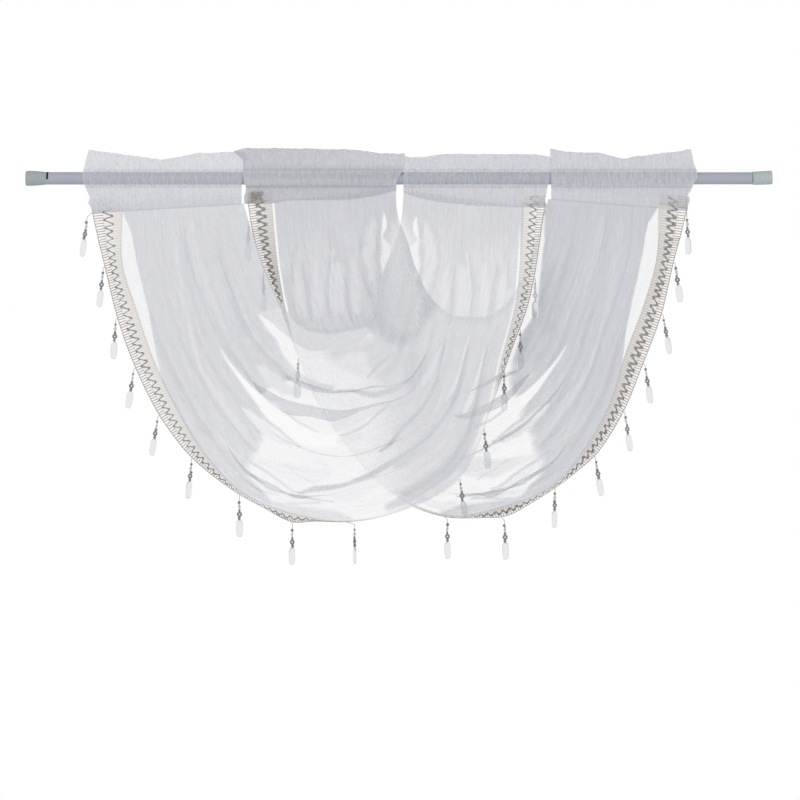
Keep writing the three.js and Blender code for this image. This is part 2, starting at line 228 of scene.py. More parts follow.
def makeThread(name, light, dark, ply):
    material, tree, shader = startMaterial(name, {"Roughness": 0.6, "Specular IOR Level": 0.3})
    place = addNode(tree, "ShaderNodeUVMap", {"uv_map": "clothMap"})
    twist = addNode(tree, "ShaderNodeTexWave", {
        "wave_type": "BANDS", "bands_direction": "DIAGONAL", "Scale": waveScale(ply), "Distortion": 1.5},
        {"Vector": place.outputs[0]})
    tone = addNode(tree, "ShaderNodeMix", {"data_type": "RGBA", 6: linearColor(dark), 7: linearColor(light)},
                   {"Factor": twist.outputs["Fac"]})
    tree.links.new(tone.outputs[2], shader.inputs["Base Color"])
    bump = addNode(tree, "ShaderNodeBump", {"Strength": threadLook["bump"], "Distance": threadLook["bumpDepth"]},
                   {"Height": twist.outputs["Fac"]})
    tree.links.new(bump.outputs[0], shader.inputs["Normal"])
    return material


# Glass beads: glossy grey, a little uneven in tone from bead to bead
beadLook = {"mottle": 6}


def makeBeads(name, dark, light):
    material, tree, shader = startMaterial(name, {"Roughness": 0.25, "Specular IOR Level": 0.6})
    mottleColor(tree, shader, beadLook["mottle"], 1.0, dark, light)
    return material


# Moulded clear acrylic: see-through with a greyish body and a bright rim, faint flow marks. Its IOR is lowered so
# that the small drops stay pale.
dropLook = {"color": "#e9eaec", "ior": 1.25, "flow": 9, "haze": (0.1, 0.35)}


def makeAcrylic():
    look = dropLook
    material, tree, shader = startMaterial("clear_acrylic_drop", {
        "Base Color": linearColor(look["color"]), "Transmission Weight": 1.0, "IOR": look["ior"]})
    place = addNode(tree, "ShaderNodeTexCoord")
    flow = addNode(tree, "ShaderNodeTexNoise", {"Scale": perMetre(look["flow"]), "Detail": 1.0},
                   {"Vector": place.outputs["Object"]})
    haze = addNode(tree, "ShaderNodeMapRange", {"To Min": look["haze"][0], "To Max": look["haze"][1]},
                   {"Value": flow.outputs["Fac"]})
    tree.links.new(haze.outputs[0], shader.inputs["Roughness"])
    return material


# Powder-coated steel tube: satin blue-grey with a fine orange-peel skin, its gloss uneven from handling
tubeLook = {"dark": "#b7bdca", "light": "#c1c7d3", "peel": 1.5, "wear": 30, "roughness": (0.35, 0.5), "bump": 0.12,
            "bumpDepth": 0.0003}


def makeTubePaint():
    look = tubeLook
    material, tree, shader = startMaterial("powder_coated_steel", {"Specular IOR Level": 0.35})
    wear = mottleColor(tree, shader, look["wear"], 3.0, look["dark"], look["light"])
    gloss = addNode(tree, "ShaderNodeMapRange", {"To Min": look["roughness"][0], "To Max": look["roughness"][1]},
                    {"Value": wear})
    tree.links.new(gloss.outputs[0], shader.inputs["Roughness"])
    place = addNode(tree, "ShaderNodeTexCoord")
    peel = addNode(tree, "ShaderNodeTexNoise", {"Scale": perMetre(look["peel"]), "Detail": 2.0},
                   {"Vector": place.outputs["Object"]})
    bump = addNode(tree, "ShaderNodeBump", {"Strength": look["bump"], "Distance": look["bumpDepth"]},
                   {"Height": peel.outputs["Fac"]})
    tree.links.new(bump.outputs[0], shader.inputs["Normal"])
    return material


# Soft PVC cap: matt, slightly mottled from handling
capLook = {"scuff": 5, "bump": 0.5, "bumpDepth": 0.0006}


def makeCapRubber(name, dark, light):
    look = capLook
    material, tree, shader = startMaterial(name, {"Roughness": 0.55, "Specular IOR Level": 0.35})
    scuff = mottleColor(tree, shader, look["scuff"], 4.0, dark, light)
    bump = addNode(tree, "ShaderNodeBump", {"Strength": look["bump"], "Distance": look["bumpDepth"]},
                   {"Height": scuff})
    tree.links.new(bump.outputs[0], shader.inputs["Normal"])
    return material


voile = makeVoile("sheer_crinkled_voile", "#dfe0e7", 0.2)
headingVoile = makeVoile("sheer_shirred_voile", "#dfe0e7", 0.3)
litHeadingVoile = makeVoile("sheer_voile_painted_lighter", "#ebecf3", 0.32)  # a lighter copy of the same voile: painted light on three of the headings
braidTape = makeBraidTape()
zigzagThread = makeThread("grey_viscose_zigzag", "#c2bdb7", "#98938c", 4.5)
ladderThread = makeThread("cream_cotton_thread", "#d3c8c0", "#bdb0a6", 2.0)
gunmetalGlass = makeBeads("gunmetal_glass_beads", "#7b7c80", "#abacb1")
smokeGlass = makeBeads("smoke_glass_beads", "#d0d1d3", "#ececee")
acrylic = makeAcrylic()
tubePaint = makeTubePaint()
leftRubber = makeCapRubber("soft_pvc_cap_grey", "#a9b1b4", "#bfc7ca")
rightRubber = makeCapRubber("soft_pvc_cap_pale", "#b8c3c4", "#d2dcdc")
# near-black: painted shadow in the gaps at the caps' mouths
mouthShadowPaint = makeCapRubber("painted_shadow_cap_mouth", "#161718", "#232425")
print("materials ready")

# Camera at the photo's distance and height; a bright even backdrop, two soft boxes in front and one low down
cameraSetup = {"lens": 200, "sensor": 36, "place": (598.7, -7111, -354.7), "farLimit": 100}  # limit in metres
lightSetup = {"worldSeen": 1.0, "worldLit": 0.5, "aim": (600, 0, -250),
              "key": {"place": (-900, -2400, 1500), "size": 1600, "power": 15.5},
              "fill": {"place": (2300, -2200, 300), "size": 1800, "power": 8},
              "bounce": {"place": (600, -1700, -1100), "size": 1800, "power": 6}}
floorSetup = {"place": (600, -900, -1250), "size": 6000, "dark": "#f3f3f4", "light": "#f8f8f8", "cloud": 1000 / 3}


def makeCamera():
    camera = bpy.data.objects.new("photo_camera", bpy.data.cameras.new("photo_camera"))
    bpy.context.collection.objects.link(camera)
    camera.data.lens = cameraSetup["lens"]
    camera.data.sensor_width = cameraSetup["sensor"]
    camera.location = [v * mm for v in cameraSetup["place"]]
    camera.rotation_euler = (math.radians(90), 0, 0)
    camera.data.clip_end = cameraSetup["farLimit"]
    bpy.context.scene.camera = camera


def makeLights():
    world = bpy.data.worlds.new("studio_white")
    world.use_nodes = True
    tree = world.node_tree
    tree.nodes.clear()
    path = addNode(tree, "ShaderNodeLightPath")
    straight = addNode(tree, "ShaderNodeMath", {"operation": "MAXIMUM"},
                       {0: path.outputs["Is Camera Ray"], 1: path.outputs["Is Transmission Ray"]})
    level = addNode(tree, "ShaderNodeMapRange", {
        "To Min": lightSetup["worldLit"], "To Max": lightSetup["worldSeen"]}, {"Value": straight.outputs[0]})
    back = addNode(tree, "ShaderNodeBackground", {"Color": (1, 1, 1, 1)}, {"Strength": level.outputs[0]})
    addNode(tree, "ShaderNodeOutputWorld", None, {"Surface": back.outputs[0]})
    bpy.context.scene.world = world
    for name in ("key", "fill", "bounce"):
        setup = lightSetup[name]
        lamp = bpy.data.lights.new(name + "_softbox", "AREA")
        lamp.shape = "SQUARE"
        lamp.size = setup["size"] * mm
        lamp.energy = setup["power"]
        softBox = bpy.data.objects.new(name + "_softbox", lamp)
        bpy.context.collection.objects.link(softBox)
        softBox.location = [v * mm for v in setup["place"]]
        aim = np.array(lightSetup["aim"]) - np.array(setup["place"])
        softBox.rotation_euler = (math.atan2(math.hypot(aim[0], aim[1]), -aim[2]), 0, math.atan2(-aim[0], aim[1]))
    scene = bpy.context.scene
    scene.view_settings.view_transform = "Standard"
    scene.cycles.transparent_max_bounces = 48  # sight lines cross many sheer layers


def makeFloor():
    setup = floorSetup
    deselectAll()
    bpy.ops.mesh.primitive_plane_add(size=1, location=[v * mm for v in setup["place"]])
    floor = bpy.context.object
    floor.name = "studio_floor"
    bpy.ops.transform.resize(value=(setup["size"] * mm, setup["size"] * mm, 1))
    bpy.ops.object.transform_apply(location=True, rotation=True, scale=True)
    material, tree, shader = startMaterial("pale_studio_floor", {"Roughness": 0.9})
    mottleColor(tree, shader, setup["cloud"], 2.0, setup["dark"], setup["light"])
    floor.data.materials.append(material)


makeCamera()
makeLights()
makeFloor()
print("camera, light and floor ready")

# Tension rod: an outer tube, a thinner tube that slides in it, and a soft cap on each end
rodSizes = {"length": 1194, "step": 919, "outerRadius": 10.0, "innerRadius": 9.7, "wall": 0.25, "capWall": 6.3,
            "lap": 130, "bore": 60, "sides": 64, "innerEnd": 1181, "edge": 0.2}
capSizes = {"left": [(0, 10.4), (0.5, 11.2), (1.6, 11.8), (5, 12.0), (12, 11.9), (19, 11.5), (25, 10.9), (30, 10.5),
                     (31, 10.35)],
            "right": [(0, 10.0), (0.5, 10.6), (1.6, 10.9), (6, 11.0), (16, 10.9), (25, 10.75), (30, 10.6),
                      (31, 10.4)],
            "socket": 25, "clearance": 0.1, "rightTilt": 2.5, "edge": 0.3}
# dark strips at the caps' mouths, painted shadow of the gap between cap and tube: where each starts, its width,
# radius and lowest point
mouthShadowSizes = {"left": (33.2, 3.2, 10.25, -2), "right": (1162.2, 1.8, 9.95, -6), "thick": 0.4, "edge": 0.08}
hardEdges = {"segments": 2, "bevelAngle": 40, "smoothAngle": 35}


def selectEnd(piece, side):
    bpy.ops.object.mode_set(mode="EDIT")
    bpy.ops.mesh.select_mode(type="FACE")
    bpy.ops.mesh.select_all(action="DESELECT")
    bpy.ops.object.mode_set(mode="OBJECT")
    for face in piece.data.polygons:
        face.select = face.normal.x * side > 0.9  # those across the rod
    bpy.ops.object.mode_set(mode="EDIT")


def finishHard(piece, material, bevel):
    bpy.ops.object.mode_set(mode="OBJECT")
    rim = piece.modifiers.new("soft_edges", "BEVEL")
    rim.width = bevel * mm
    rim.segments = hardEdges["segments"]
    rim.limit_method = "ANGLE"
    rim.angle_limit = math.radians(hardEdges["bevelAngle"])
    bpy.ops.object.modifier_apply(modifier=rim.name)
    bpy.ops.object.shade_smooth_by_angle(angle=math.radians(hardEdges["smoothAngle"]))
    piece.data.materials.clear()
    piece.data.materials.append(material)


def startRound(name, add, at, radius, **shape):
    # a disc or cylinder about the rod's axis
    deselectAll()
    add(vertices=rodSizes["sides"], radius=radius * mm, location=(at * mm, 0, 0), rotation=(0, math.radians(90), 0),
        **shape)
    piece = bpy.context.object
    piece.name = name
    bpy.ops.object.transform_apply(location=True, rotation=True, scale=True)
    return piece


def makeTube(name, start, end, radius, openSide):
    tube = startRound(name, bpy.ops.mesh.primitive_cylinder_add, (start + end) / 2, radius, depth=(end - start) * mm)
    selectEnd(tube, openSide)  # bore the open end
    bpy.ops.mesh.inset(thickness=rodSizes["wall"] * mm)
    bpy.ops.mesh.extrude_region_move(
        TRANSFORM_OT_translate={"value": (-openSide * rodSizes["bore"] * mm, 0, 0)})
    finishHard(tube, tubePaint, rodSizes["edge"])
    return tube


def makeCap(name, rings, origin, side, tubeRadius, tilt, material):
    # from a disc: each ring is extruded along the rod, then scaled
    cap = startRound(name, bpy.ops.mesh.primitive_circle_add, origin, rings[0][1], fill_type="NGON")
    bpy.ops.object.mode_set(mode="EDIT")
    bpy.ops.mesh.select_mode(type="FACE")
    bpy.ops.mesh.select_all(action="SELECT")
    for (before, oldRadius), (along, radius) in zip(rings, rings[1:]):
        bpy.ops.mesh.extrude_region_move(
            TRANSFORM_OT_translate={"value": (side * (along - before) * mm, 0, 0)})
        scale = radius / oldRadius
        bpy.ops.transform.resize(value=(1, scale, scale), center_override=((origin + side * along) * mm, 0, 0))
    bpy.ops.mesh.inset(thickness=(rings[-1][1] - tubeRadius - capSizes["clearance"]) * mm)
    bpy.ops.mesh.extrude_region_move(
        TRANSFORM_OT_translate={"value": (-side * capSizes["socket"] * mm, 0, 0)})
    bpy.ops.mesh.select_all(action="SELECT")
    bpy.ops.mesh.normals_make_consistent(inside=False)
    mouth = (origin + side * rings[-1][0]) * mm
    bpy.ops.transform.rotate(value=math.radians(tilt), orient_axis="Y", center_override=(mouth, 0, 0))
    finishHard(cap, material, capSizes["edge"])
    return cap


def makeMouthShadow(name, start, width, radius, low):
    # a strip of tube wall, cut off below and behind, near-black as painted shadow
    shadowBand = startRound(name, bpy.ops.mesh.primitive_cylinder_add, start + width / 2, radius, depth=width * mm,
                      end_fill_type="NOTHING")
    bpy.ops.object.mode_set(mode="EDIT")
    bpy.ops.mesh.select_all(action="SELECT")
    bpy.ops.mesh.bisect(plane_co=(0, 0, low * mm), plane_no=(0, 0, 1), clear_inner=True)
    bpy.ops.mesh.select_all(action="SELECT")
    bpy.ops.mesh.bisect(plane_co=(0, 0, 0), plane_no=(0, 1, 0), clear_outer=True)
    bpy.ops.object.mode_set(mode="OBJECT")
    wall = shadowBand.modifiers.new("wall", "SOLIDIFY")
    wall.thickness = mouthShadowSizes["thick"] * mm
    bpy.ops.object.modifier_apply(modifier=wall.name)
    finishHard(shadowBand, mouthShadowPaint, mouthShadowSizes["edge"])
    return shadowBand


outerTube = makeTube("rod_outer_tube_satin", rodSizes["capWall"], rodSizes["step"], rodSizes["outerRadius"], 1)
innerTube = makeTube("rod_inner_tube_satin", rodSizes["step"] - rodSizes["lap"],
                     rodSizes["innerEnd"], rodSizes["innerRadius"], -1)
leftCap = makeCap("end_cap_left_soft", capSizes["left"], 0, 1, rodSizes["outerRadius"], 0, leftRubber)
rightCap = makeCap("end_cap_right_soft", capSizes["right"], rodSizes["length"], -1, rodSizes["innerRadius"],
                   capSizes["rightTilt"], rightRubber)
# the dark strips of painted shadow at the caps' mouths
for side in ("left", "right"):
    keep(makeMouthShadow("rod_mouth_shadow_" + side, *mouthShadowSizes[side]), "end_cap")
keep(outerTube, "rod_tube", "rod_outer_tube")
keep(innerTube, "rod_tube", "rod_inner_tube")
keep(leftCap, "end_cap", "end_cap_left")
keep(rightCap, "end_cap", "end_cap_right")
print("rod and caps ready")

# Pleats of the swags, drawn once and mirrored for the other valance. Each row has the share of its leg's layers that
# it leaves, how soft its edge is, and its line as (X, Z, half width): light pleats are pulled thin, dark ones bunch
# up, and a few wide soft dark rows add layers as painted shade. A later row lies over an earlier one.
legPleats = [
    (1.22, 10, [(492, -50, 16), (498, -90, 18), (502, -125, 14), (500, -150, 8)]),
    (0.58, 9, [(598, -62, 6), (594, -92, 13), (595, -130, 19), (602, -160, 25), (606, -195, 28), (606, -225, 26)]),
    (0.22, 1.9, [(573, -56, 1.2), (574, -66, 3.5), (574, -76, 4.4), (571, -86, 2.8), (568, -96, 0.8)]),
    (0.34, 3, [(571, -98, 4), (577, -110, 7), (576, -122, 7.5), (571, -138, 6), (567, -156, 1.5)]),
    (0.76, 4.8, [(557, -67, 2.4), (551, -99, 9.6), (548, -128, 8), (554, -163, 3.2)]),
    (1.38, 3.2, [(554, -54, 1.9), (538, -86, 2.4), (536, -123, 2.4), (543, -160, 2.9), (554, -188, 3.2)]),
    (1.38, 3.2, [(567, -54, 1.6), (564, -99, 2.4), (563, -128, 2.4), (568, -163, 4)]),
    (0.76, 4.8, [(525, -144, 4.8), (527, -179, 7.2), (530, -211, 6.4)]),
    (1.48, 3.2, [(511, -134, 1.6), (514, -171, 2.9), (516, -198, 3.2), (522, -227, 2.4)]),
    (0.74, 4.8, [(500, -139, 6.4), (498, -176, 9.6), (501, -208, 9.6)]),
    (0.48, 1.6, [(492, -115, 1.1), (488, -155, 1.4), (486, -182, 1.6), (489, -211, 1.3)]),
    (1.38, 3.2, [(487, -123, 1.9), (482, -166, 2.9), (483, -195, 2.9), (487, -224, 1.9)]),
    (0.74, 4.8, [(464, -134, 4.8), (463, -176, 8), (466, -214, 8)]),
    (1.48, 3.2, [(442, -134, 1.9), (450, -171, 3.2), (453, -200, 3.2), (458, -227, 2.4)]),
    (0.76, 4.8, [(432, -155, 6.4), (436, -187, 8), (440, -217, 8)]),
    (1.24, 3.2, [(434, -108, 1.6), (426, -134, 2.4), (424, -166, 2.4)]),
]
bodyPleats = [
    (0.79, 4.8, [(234, -75, 3.2), (242, -134, 4.8), (252, -195, 4.8), (266, -246, 3.2)]),
    (0.81, 4.8, [(263, -70, 3.2), (276, -131, 6.4), (298, -192, 6.4), (324, -243, 3.2)]),
    (1.19, 4.8, [(253, -83, 3.2), (261, -147, 4.8), (276, -211, 4.8), (295, -267, 3.2)]),
    (1.19, 4.8, [(303, -75, 3.2), (314, -131, 6.4), (332, -195, 6.4), (352, -251, 4.8)]),
    (0.64, 3.2, [(263, -236, 1.6), (272, -272, 2.6), (284, -308, 3.5), (298, -332, 5.6), (317, -358, 7.2),
                 (336, -385, 8), (356, -412, 7.2), (368, -430, 4.8)]),
]
crescentPleats = [
    (0.1, 2.1, [(314, -275, 1.2), (327, -296, 2.2), (348, -323, 4.2), (361, -339, 6), (376, -355, 8),
                (395, -371, 11), (407, -387, 12.5), (431, -403, 14), (452, -415, 13), (476, -420, 9.6),
                (503, -419, 6.4), (528, -412, 3.2)]),
]
foldPleats = [
    (0.29, 2.6, [(348, -368, 1.6), (359, -377, 5.6), (378, -395, 8), (400, -412, 8), (423, -424, 5.6)]),
    (0.26, 4.8, [(372, -451, 3.2), (407, -462, 9.6), (439, -472, 14.4), (474, -468, 16)]),
    (0.21, 2.1, [(362, -460, 3.2), (381, -478, 5.6), (404, -491, 6.4), (426, -500, 3.2)]),
    (0.57, 4.8, [(372, -515, 3.2), (415, -529, 8), (455, -536, 9.6), (495, -539, 8), (519, -544, 3.2)]),
    (0.2, 2.1, [(388, -507, 2.4), (415, -512, 4.8), (447, -515, 4), (474, -520, 3.2)]),
    (0.2, 2.1, [(500, -526, 3.2), (519, -532, 6.4), (538, -526, 6.4), (564, -516, 4.8), (596, -508, 3.2)]),
    (0.72, 1.4, [(352, -352, 5.6), (365, -364, 4.2), (378, -379, 2.9), (391, -391, 2.4), (407, -402, 1.8),
                 (423, -416, 1.4), (439, -429, 1.1)]),
    (0.6, 1.2, [(354, -449, 1.3), (372, -460, 1.9), (381, -466, 2.4), (391, -472, 1.9), (407, -483, 1.8),
                (423, -496, 1.4), (432, -501, 1.3), (442, -503, 1.1)]),
    (0.7, 1.2, [(343, -454, 1.3), (359, -470, 1.4), (375, -484, 1.8), (391, -495, 1.9), (407, -500, 1.8),
                (423, -504, 2.1), (439, -508, 1.8), (471, -514, 1.3), (495, -516, 1)]),
    (0.55, 1.2, [(388, -515, 1.4), (400, -520, 1.3), (423, -520, 1.1), (447, -519, 1.1), (471, -518, 1.1)]),
    (0.6, 1.2, [(423, -536, 1.1), (447, -536, 1.1), (471, -536, 1.1), (496, -537, 1.3), (519, -542, 1.4)]),
    (0.85, 2, [(343, -476, 2.4), (359, -486, 3.2), (375, -500, 3.5), (388, -515, 2.4)]),
    (0.45, 1.4, [(420, -377, 1.3), (439, -392, 1.6), (455, -400, 1.3), (469, -406, 1)]),
    (0.42, 1.4, [(415, -456, 1), (439, -475, 1.3), (463, -488, 1)]),
]
neckPleats = [
    (0.48, 4.8, [(378, -304, 4.8), (394, -321, 11.2), (413, -336, 9.6), (434, -344, 4.8)]),
    (0.76, 3, [(400, -262, 3), (408, -286, 5), (425, -308, 5.5), (445, -322, 5), (465, -331, 4.5), (490, -335, 3)]),
]
flankPleatsAndShade = [
    (1.25, 14, [(590, -262, 14), (615, -285, 22), (620, -320, 18)]),
    (0.95, 14, [(500, -275, 16), (540, -285, 26), (575, -300, 22), (590, -330, 10)]),
    # these three wide soft rows add layers as painted shade along the flank's folds
    (1.15, 6.4, [(664, -275, 4.8), (658, -331, 6.4), (639, -363, 7.2), (615, -390, 6.4), (592, -406, 4.8)]),
    (1.15, 6.4, [(704, -267, 4.8), (698, -323, 7.2), (679, -360, 8), (653, -398, 8), (623, -435, 8),
                 (596, -457, 6.4)]),
    (1.15, 6.4, [(736, -283, 4), (727, -331, 6.4), (714, -374, 8.8), (696, -419, 9.6), (674, -456, 9.6),
                 (642, -486, 9.6), (607, -508, 8)]),
    (0.5, 5, [(512, -294, 11.2), (532, -288, 12.8), (548, -310, 8)]),
    (0.35, 3, [(500, -396, 8), (519, -390, 8), (538, -382, 6.4), (557, -369, 2.4)]),
    (0.35, 3, [(503, -420, 5.6), (519, -418, 6.4), (538, -412, 4)]),
    (0.4, 3, [(500, -507, 6.4), (519, -505, 9.6), (538, -499, 8), (560, -489, 4.8)]),
    (0.35, 2, [(532, -470, 1.6), (544, -464, 2.9), (564, -456, 2.9), (583, -446, 1.6)]),
    (0.62, 3, [(634, -329, 3.2), (644, -313, 5.8), (653, -294, 4.8), (663, -272, 2.6)]),
    (0.45, 1.6, [(674, -352, 1.9), (684, -336, 2.9), (693, -310, 2.1), (701, -278, 1.8), (708, -256, 1.3)]),
    (0.35, 1.6, [(700, -377, 2.4), (709, -358, 4.8), (717, -336, 4.2), (725, -307, 2.2), (732, -283, 1.8),
                 (738, -264, 1.4)]),
    (0.4, 1.4, [(722, -398, 1.3), (730, -377, 1.8), (740, -358, 1.4)]),
    (1.8, 1.6, [(439, -503, 1.3), (452, -499, 2.6), (464, -496, 3.8), (477, -495, 3.8), (500, -492, 2.9),
                (519, -487, 2.6), (532, -482, 3.5), (551, -475, 4.2), (575, -460, 4.2), (599, -446, 3.5),
                (615, -435, 2.9), (631, -422, 2.9), (647, -408, 2.9), (663, -390, 2.9), (679, -368, 2.9),
                (692, -342, 2.6), (700, -307, 2.2), (708, -275, 1.9)]),
    (1.9, 1.6, [(568, -436, 1.3), (583, -425, 2.2), (599, -404, 2.6), (615, -387, 2.6), (631, -371, 2.6),
                (647, -347, 2.6), (658, -323, 2.6), (663, -291, 2.1), (671, -259, 1.6)]),
    (1.7, 2.4, [(599, -516, 1.6), (631, -500, 3.8), (663, -480, 6.1), (687, -459, 6.7), (700, -435, 5.4),
                 (711, -403, 3.8), (720, -363, 2.9), (727, -331, 2.4), (732, -299, 1.9), (738, -267, 1.6)]),
    (1.7, 1.4, [(548, -318, 1), (564, -299, 1.4), (583, -283, 1.6), (599, -275, 1.3)]),
    (1.6, 2, [(500, -340, 1), (522, -340, 1.3), (538, -343, 3.5), (559, -347, 4.2), (583, -340, 3.8),
              (602, -332, 3.2), (618, -324, 1.6)]),
    (0.3, 9, [(602, -92, 8), (606, -125, 18), (610, -160, 27), (612, -195, 31), (614, -220, 28)]),
    (1.0, 12, [(560, -270, 10), (590, -274, 14), (620, -274, 12)]),
    (1.25, 4, [(725, -385, 5), (700, -430, 7), (672, -466, 8), (640, -492, 8), (610, -512, 7), (580, -525, 5)]),
    (1.1, 1.4, [(506, -411, 1.1), (527, -404, 1.4), (548, -392, 1.4), (564, -376, 1.4), (583, -361, 1.3)]),
]
behindBraid = [  # the rear cloth is thin behind the front valance's right braid
    (0.12, 3, [(812, -60, 19), (812, -99, 19), (806, -160, 18), (802, -200, 18), (795, -222, 15), (786, -242, 10),
               (780, -268, 6), (773, -291, 5), (764, -315, 4), (758, -330, 2)]),
]
# where the gathered legs give way to the thin swag, as (Z, X, how soft)
bodyEdge = [(-30, 520, 5), (-200, 440, 5), (-216, 378, 5), (-220, 374, 5), (-240, 386, 5), (-250, 394, 5),
            (-256, 400, 5), (-277, 403, 5), (-298, 415, 5), (-311, 433, 5), (-318, 440, 5), (-326, 414, 5),
            (-335, 393, 5), (-350, 372, 5), (-387, 378, 6), (-405, 382, 9), (-419, 379, 13), (-435, 370, 16),
            (-451, 362, 16), (-467, 358, 16), (-483, 362, 14), (-499, 374, 12), (-518, 397, 10), (-547, 423, 10)]
flankEdge = [(-35, 560, 10), (-195, 560, 10), (-245, 555, 30), (-300, 560, 60), (-400, 570, 60), (-547, 590, 60)]
# X becomes the first value less X, and Z rises by the second
mirrors = {"body": (1186.2, 6.4), "crescent": (1179.8, 7), "leg": (1197.4, -6.4)}


def mirrored(pleats, how):
    across, lift = mirrors[how]
    return [(share, soft, [(across - x, z + lift, half) for x, z, half in line]) for share, soft, line in pleats]


# Each valance's sections run from its left heading round the swag to the right: neck X, Z, hem X, Z, braid edge X, Z.
# along goes from 0 to 1 over the sections, across from 0 at the neck to 1 at the hem.
frontValance = {
    "name": "valance_1", "flatArea": 0.275,
    "depth": -40, "hemSettle": (240, 110),  # how far it stands from the rod, and over what drop at each side
    "sections": [
        (348, -40, 152, -51, 106, -54), (364, -92, 153, -136, 126, -142), (383, -145, 178, -217, 148, -225),
        (408, -200, 205, -295, 177, -304), (434, -232, 242, -371, 215, -380), (455, -243, 282, -438, 262, -452),
        (468, -246, 345, -505, 338, -511), (480, -247, 418, -537, 428, -555), (500, -245, 511, -551, 519, -555),
        (524, -240, 600, -533, 608, -538), (545, -230, 692, -482, 702, -487), (557, -196, 741, -375, 746, -377),
        (573, -150, 762, -291, 773, -286), (599, -76, 786, -195, 805, -195), (605, -19, 797, -45, 831, -46)],
    # across at the left, low and right, height, spread
    "ridges": [(0.1, 0.09, 0.08, 11, 0.05), (0.26, 0.25, 0.22, 18, 0.055), (0.46, 0.4, 0.42, 22, 0.06),
               (0.6, 0.58, 0.57, 17, 0.06), (0.72, 0.71, 0.72, 12, 0.05), (0.86, 0.85, 0.87, 17, 0.05)],
    # where the swag folds over itself: along, across, overlap
    "laps": [
        [(0.18, 0.36, 0), (0.3, 0.325, 0), (0.36, 0.31, 0), (0.4, 0.3, 2.5), (0.43, 0.29, 6), (0.5, 0.3, 8),
         (0.57, 0.315, 3), (0.62, 0.32, 3), (0.65, 0.322, 4), (0.72, 0.378, 4), (0.785, 0.46, 2), (0.835, 0.507, 0),
         (0.92, 0.54, 0)],
        [(0.16, 0.46, 0), (0.25, 0.48, 0), (0.33, 0.47, 1), (0.36, 0.463, 5), (0.39, 0.45, 13), (0.45, 0.427, 20),
         (0.505, 0.404, 18), (0.555, 0.42, 17), (0.58, 0.411, 13), (0.615, 0.396, 8), (0.66, 0.4, 4),
         (0.71, 0.435, 2), (0.763, 0.515, 0), (0.85, 0.56, 0)],
        [(0.12, 0.5, 0), (0.23, 0.54, 0), (0.315, 0.578, 2), (0.39, 0.565, 2.5), (0.455, 0.605, 2), (0.5, 0.625, 2),
         (0.55, 0.648, 2.5), (0.6, 0.65, 2.5), (0.635, 0.634, 2.5), (0.675, 0.635, 2), (0.716, 0.64, 1),
         (0.8, 0.65, 0)],
        [(0.3, 0.79, 0), (0.378, 0.832, 3), (0.418, 0.862, 5), (0.46, 0.855, 5), (0.49, 0.865, 3), (0.52, 0.88, 0)],
        [(0.34, 0.88, 0), (0.414, 0.922, 2), (0.442, 0.935, 2.5), (0.468, 0.928, 2.5), (0.508, 0.892, 2.5),
         (0.53, 0.85, 3), (0.562, 0.832, 3), (0.614, 0.788, 3), (0.66, 0.79, 2.5), (0.69, 0.805, 2), (0.8, 0.81, 0)],
    ],
    # layers of gathered voile at the left, low and right, more at the seams; where those of the legs end
    "legs": (4.2, 0.75, 3.12), "seamDense": (0, 0.5), "leftEdge": bodyEdge, "rightEdge": flankEdge,
    "pleats": (bodyPleats + crescentPleats + foldPleats + neckPleats, flankPleatsAndShade + mirrored(legPleats, "leg")),
    # by along: where the thin strip beside the braid starts, and where the turned neck ends
    "wedge": [(0.0, 0.985), (0.01, 0.965), (0.025, 0.925), (0.04, 0.9), (0.06, 0.885), (0.09, 0.88), (0.123, 0.892),
              (0.15, 0.907), (0.181, 0.932), (0.228, 0.975), (0.26, 1.02)],
    "neckHem": [(0.18, 0.2), (0.214, 0.18), (0.25, 0.12), (0.286, 0.1), (0.357, 0.11), (0.429, 0.11), (0.5, 0.09),
                (0.571, 0.088), (0.643, 0.075), (0.7, 0.06)],
    "neckLayers": 2.9, "brightHem": (0.72, 1.0),  # along where the hem is thin
    # share of the net, thickness of the zigzag; how far each end comes out of its heading; loops at the left end
    "braidWeight": (0.86, 1.05), "tuckedOut": (0, 1), "knots": 0,
    # along, how much of the width faces the front while the rest turns back under the hem, how full it is
    "braidShown": [(0, 1, 1), (0.29, 1, 1), (0.357, 0.75, 1), (0.393, 0.6, 1), (0.43, 0.4, 0.8), (0.464, 0.3, 0.6),
                   (0.484, 0.6, 1), (0.5, 0.78, 1), (0.511, 0.68, 1), (0.524, 0.4, 1), (0.543, 0.2, 0.9),
                   (0.6, 0.2, 0.25), (0.714, 0.2, 0.2), (0.786, 0.2, 0.15), (0.812, 0.4, 0.4), (0.829, 0.75, 0.9),
                   (0.857, 1, 1), (1, 1, 1)],
    # by section; faint ones have no dark beads, straight ones don't lean, edgeOn ones are turned
    "pendants": [0, 1, 2, 3, 4, 5, 6, 7, 8, 10, 10.75, 11.75, 12.5, 13.25], "faint": [13.25],
    "straight": [6, 7, 8, 11.75, 12.5, 13.25], "moved": {0: (-5, -8), 6: (0, -4), 7: (1, -4), 8: (13, -4)},
    "edgeOn": [7, 8],
}
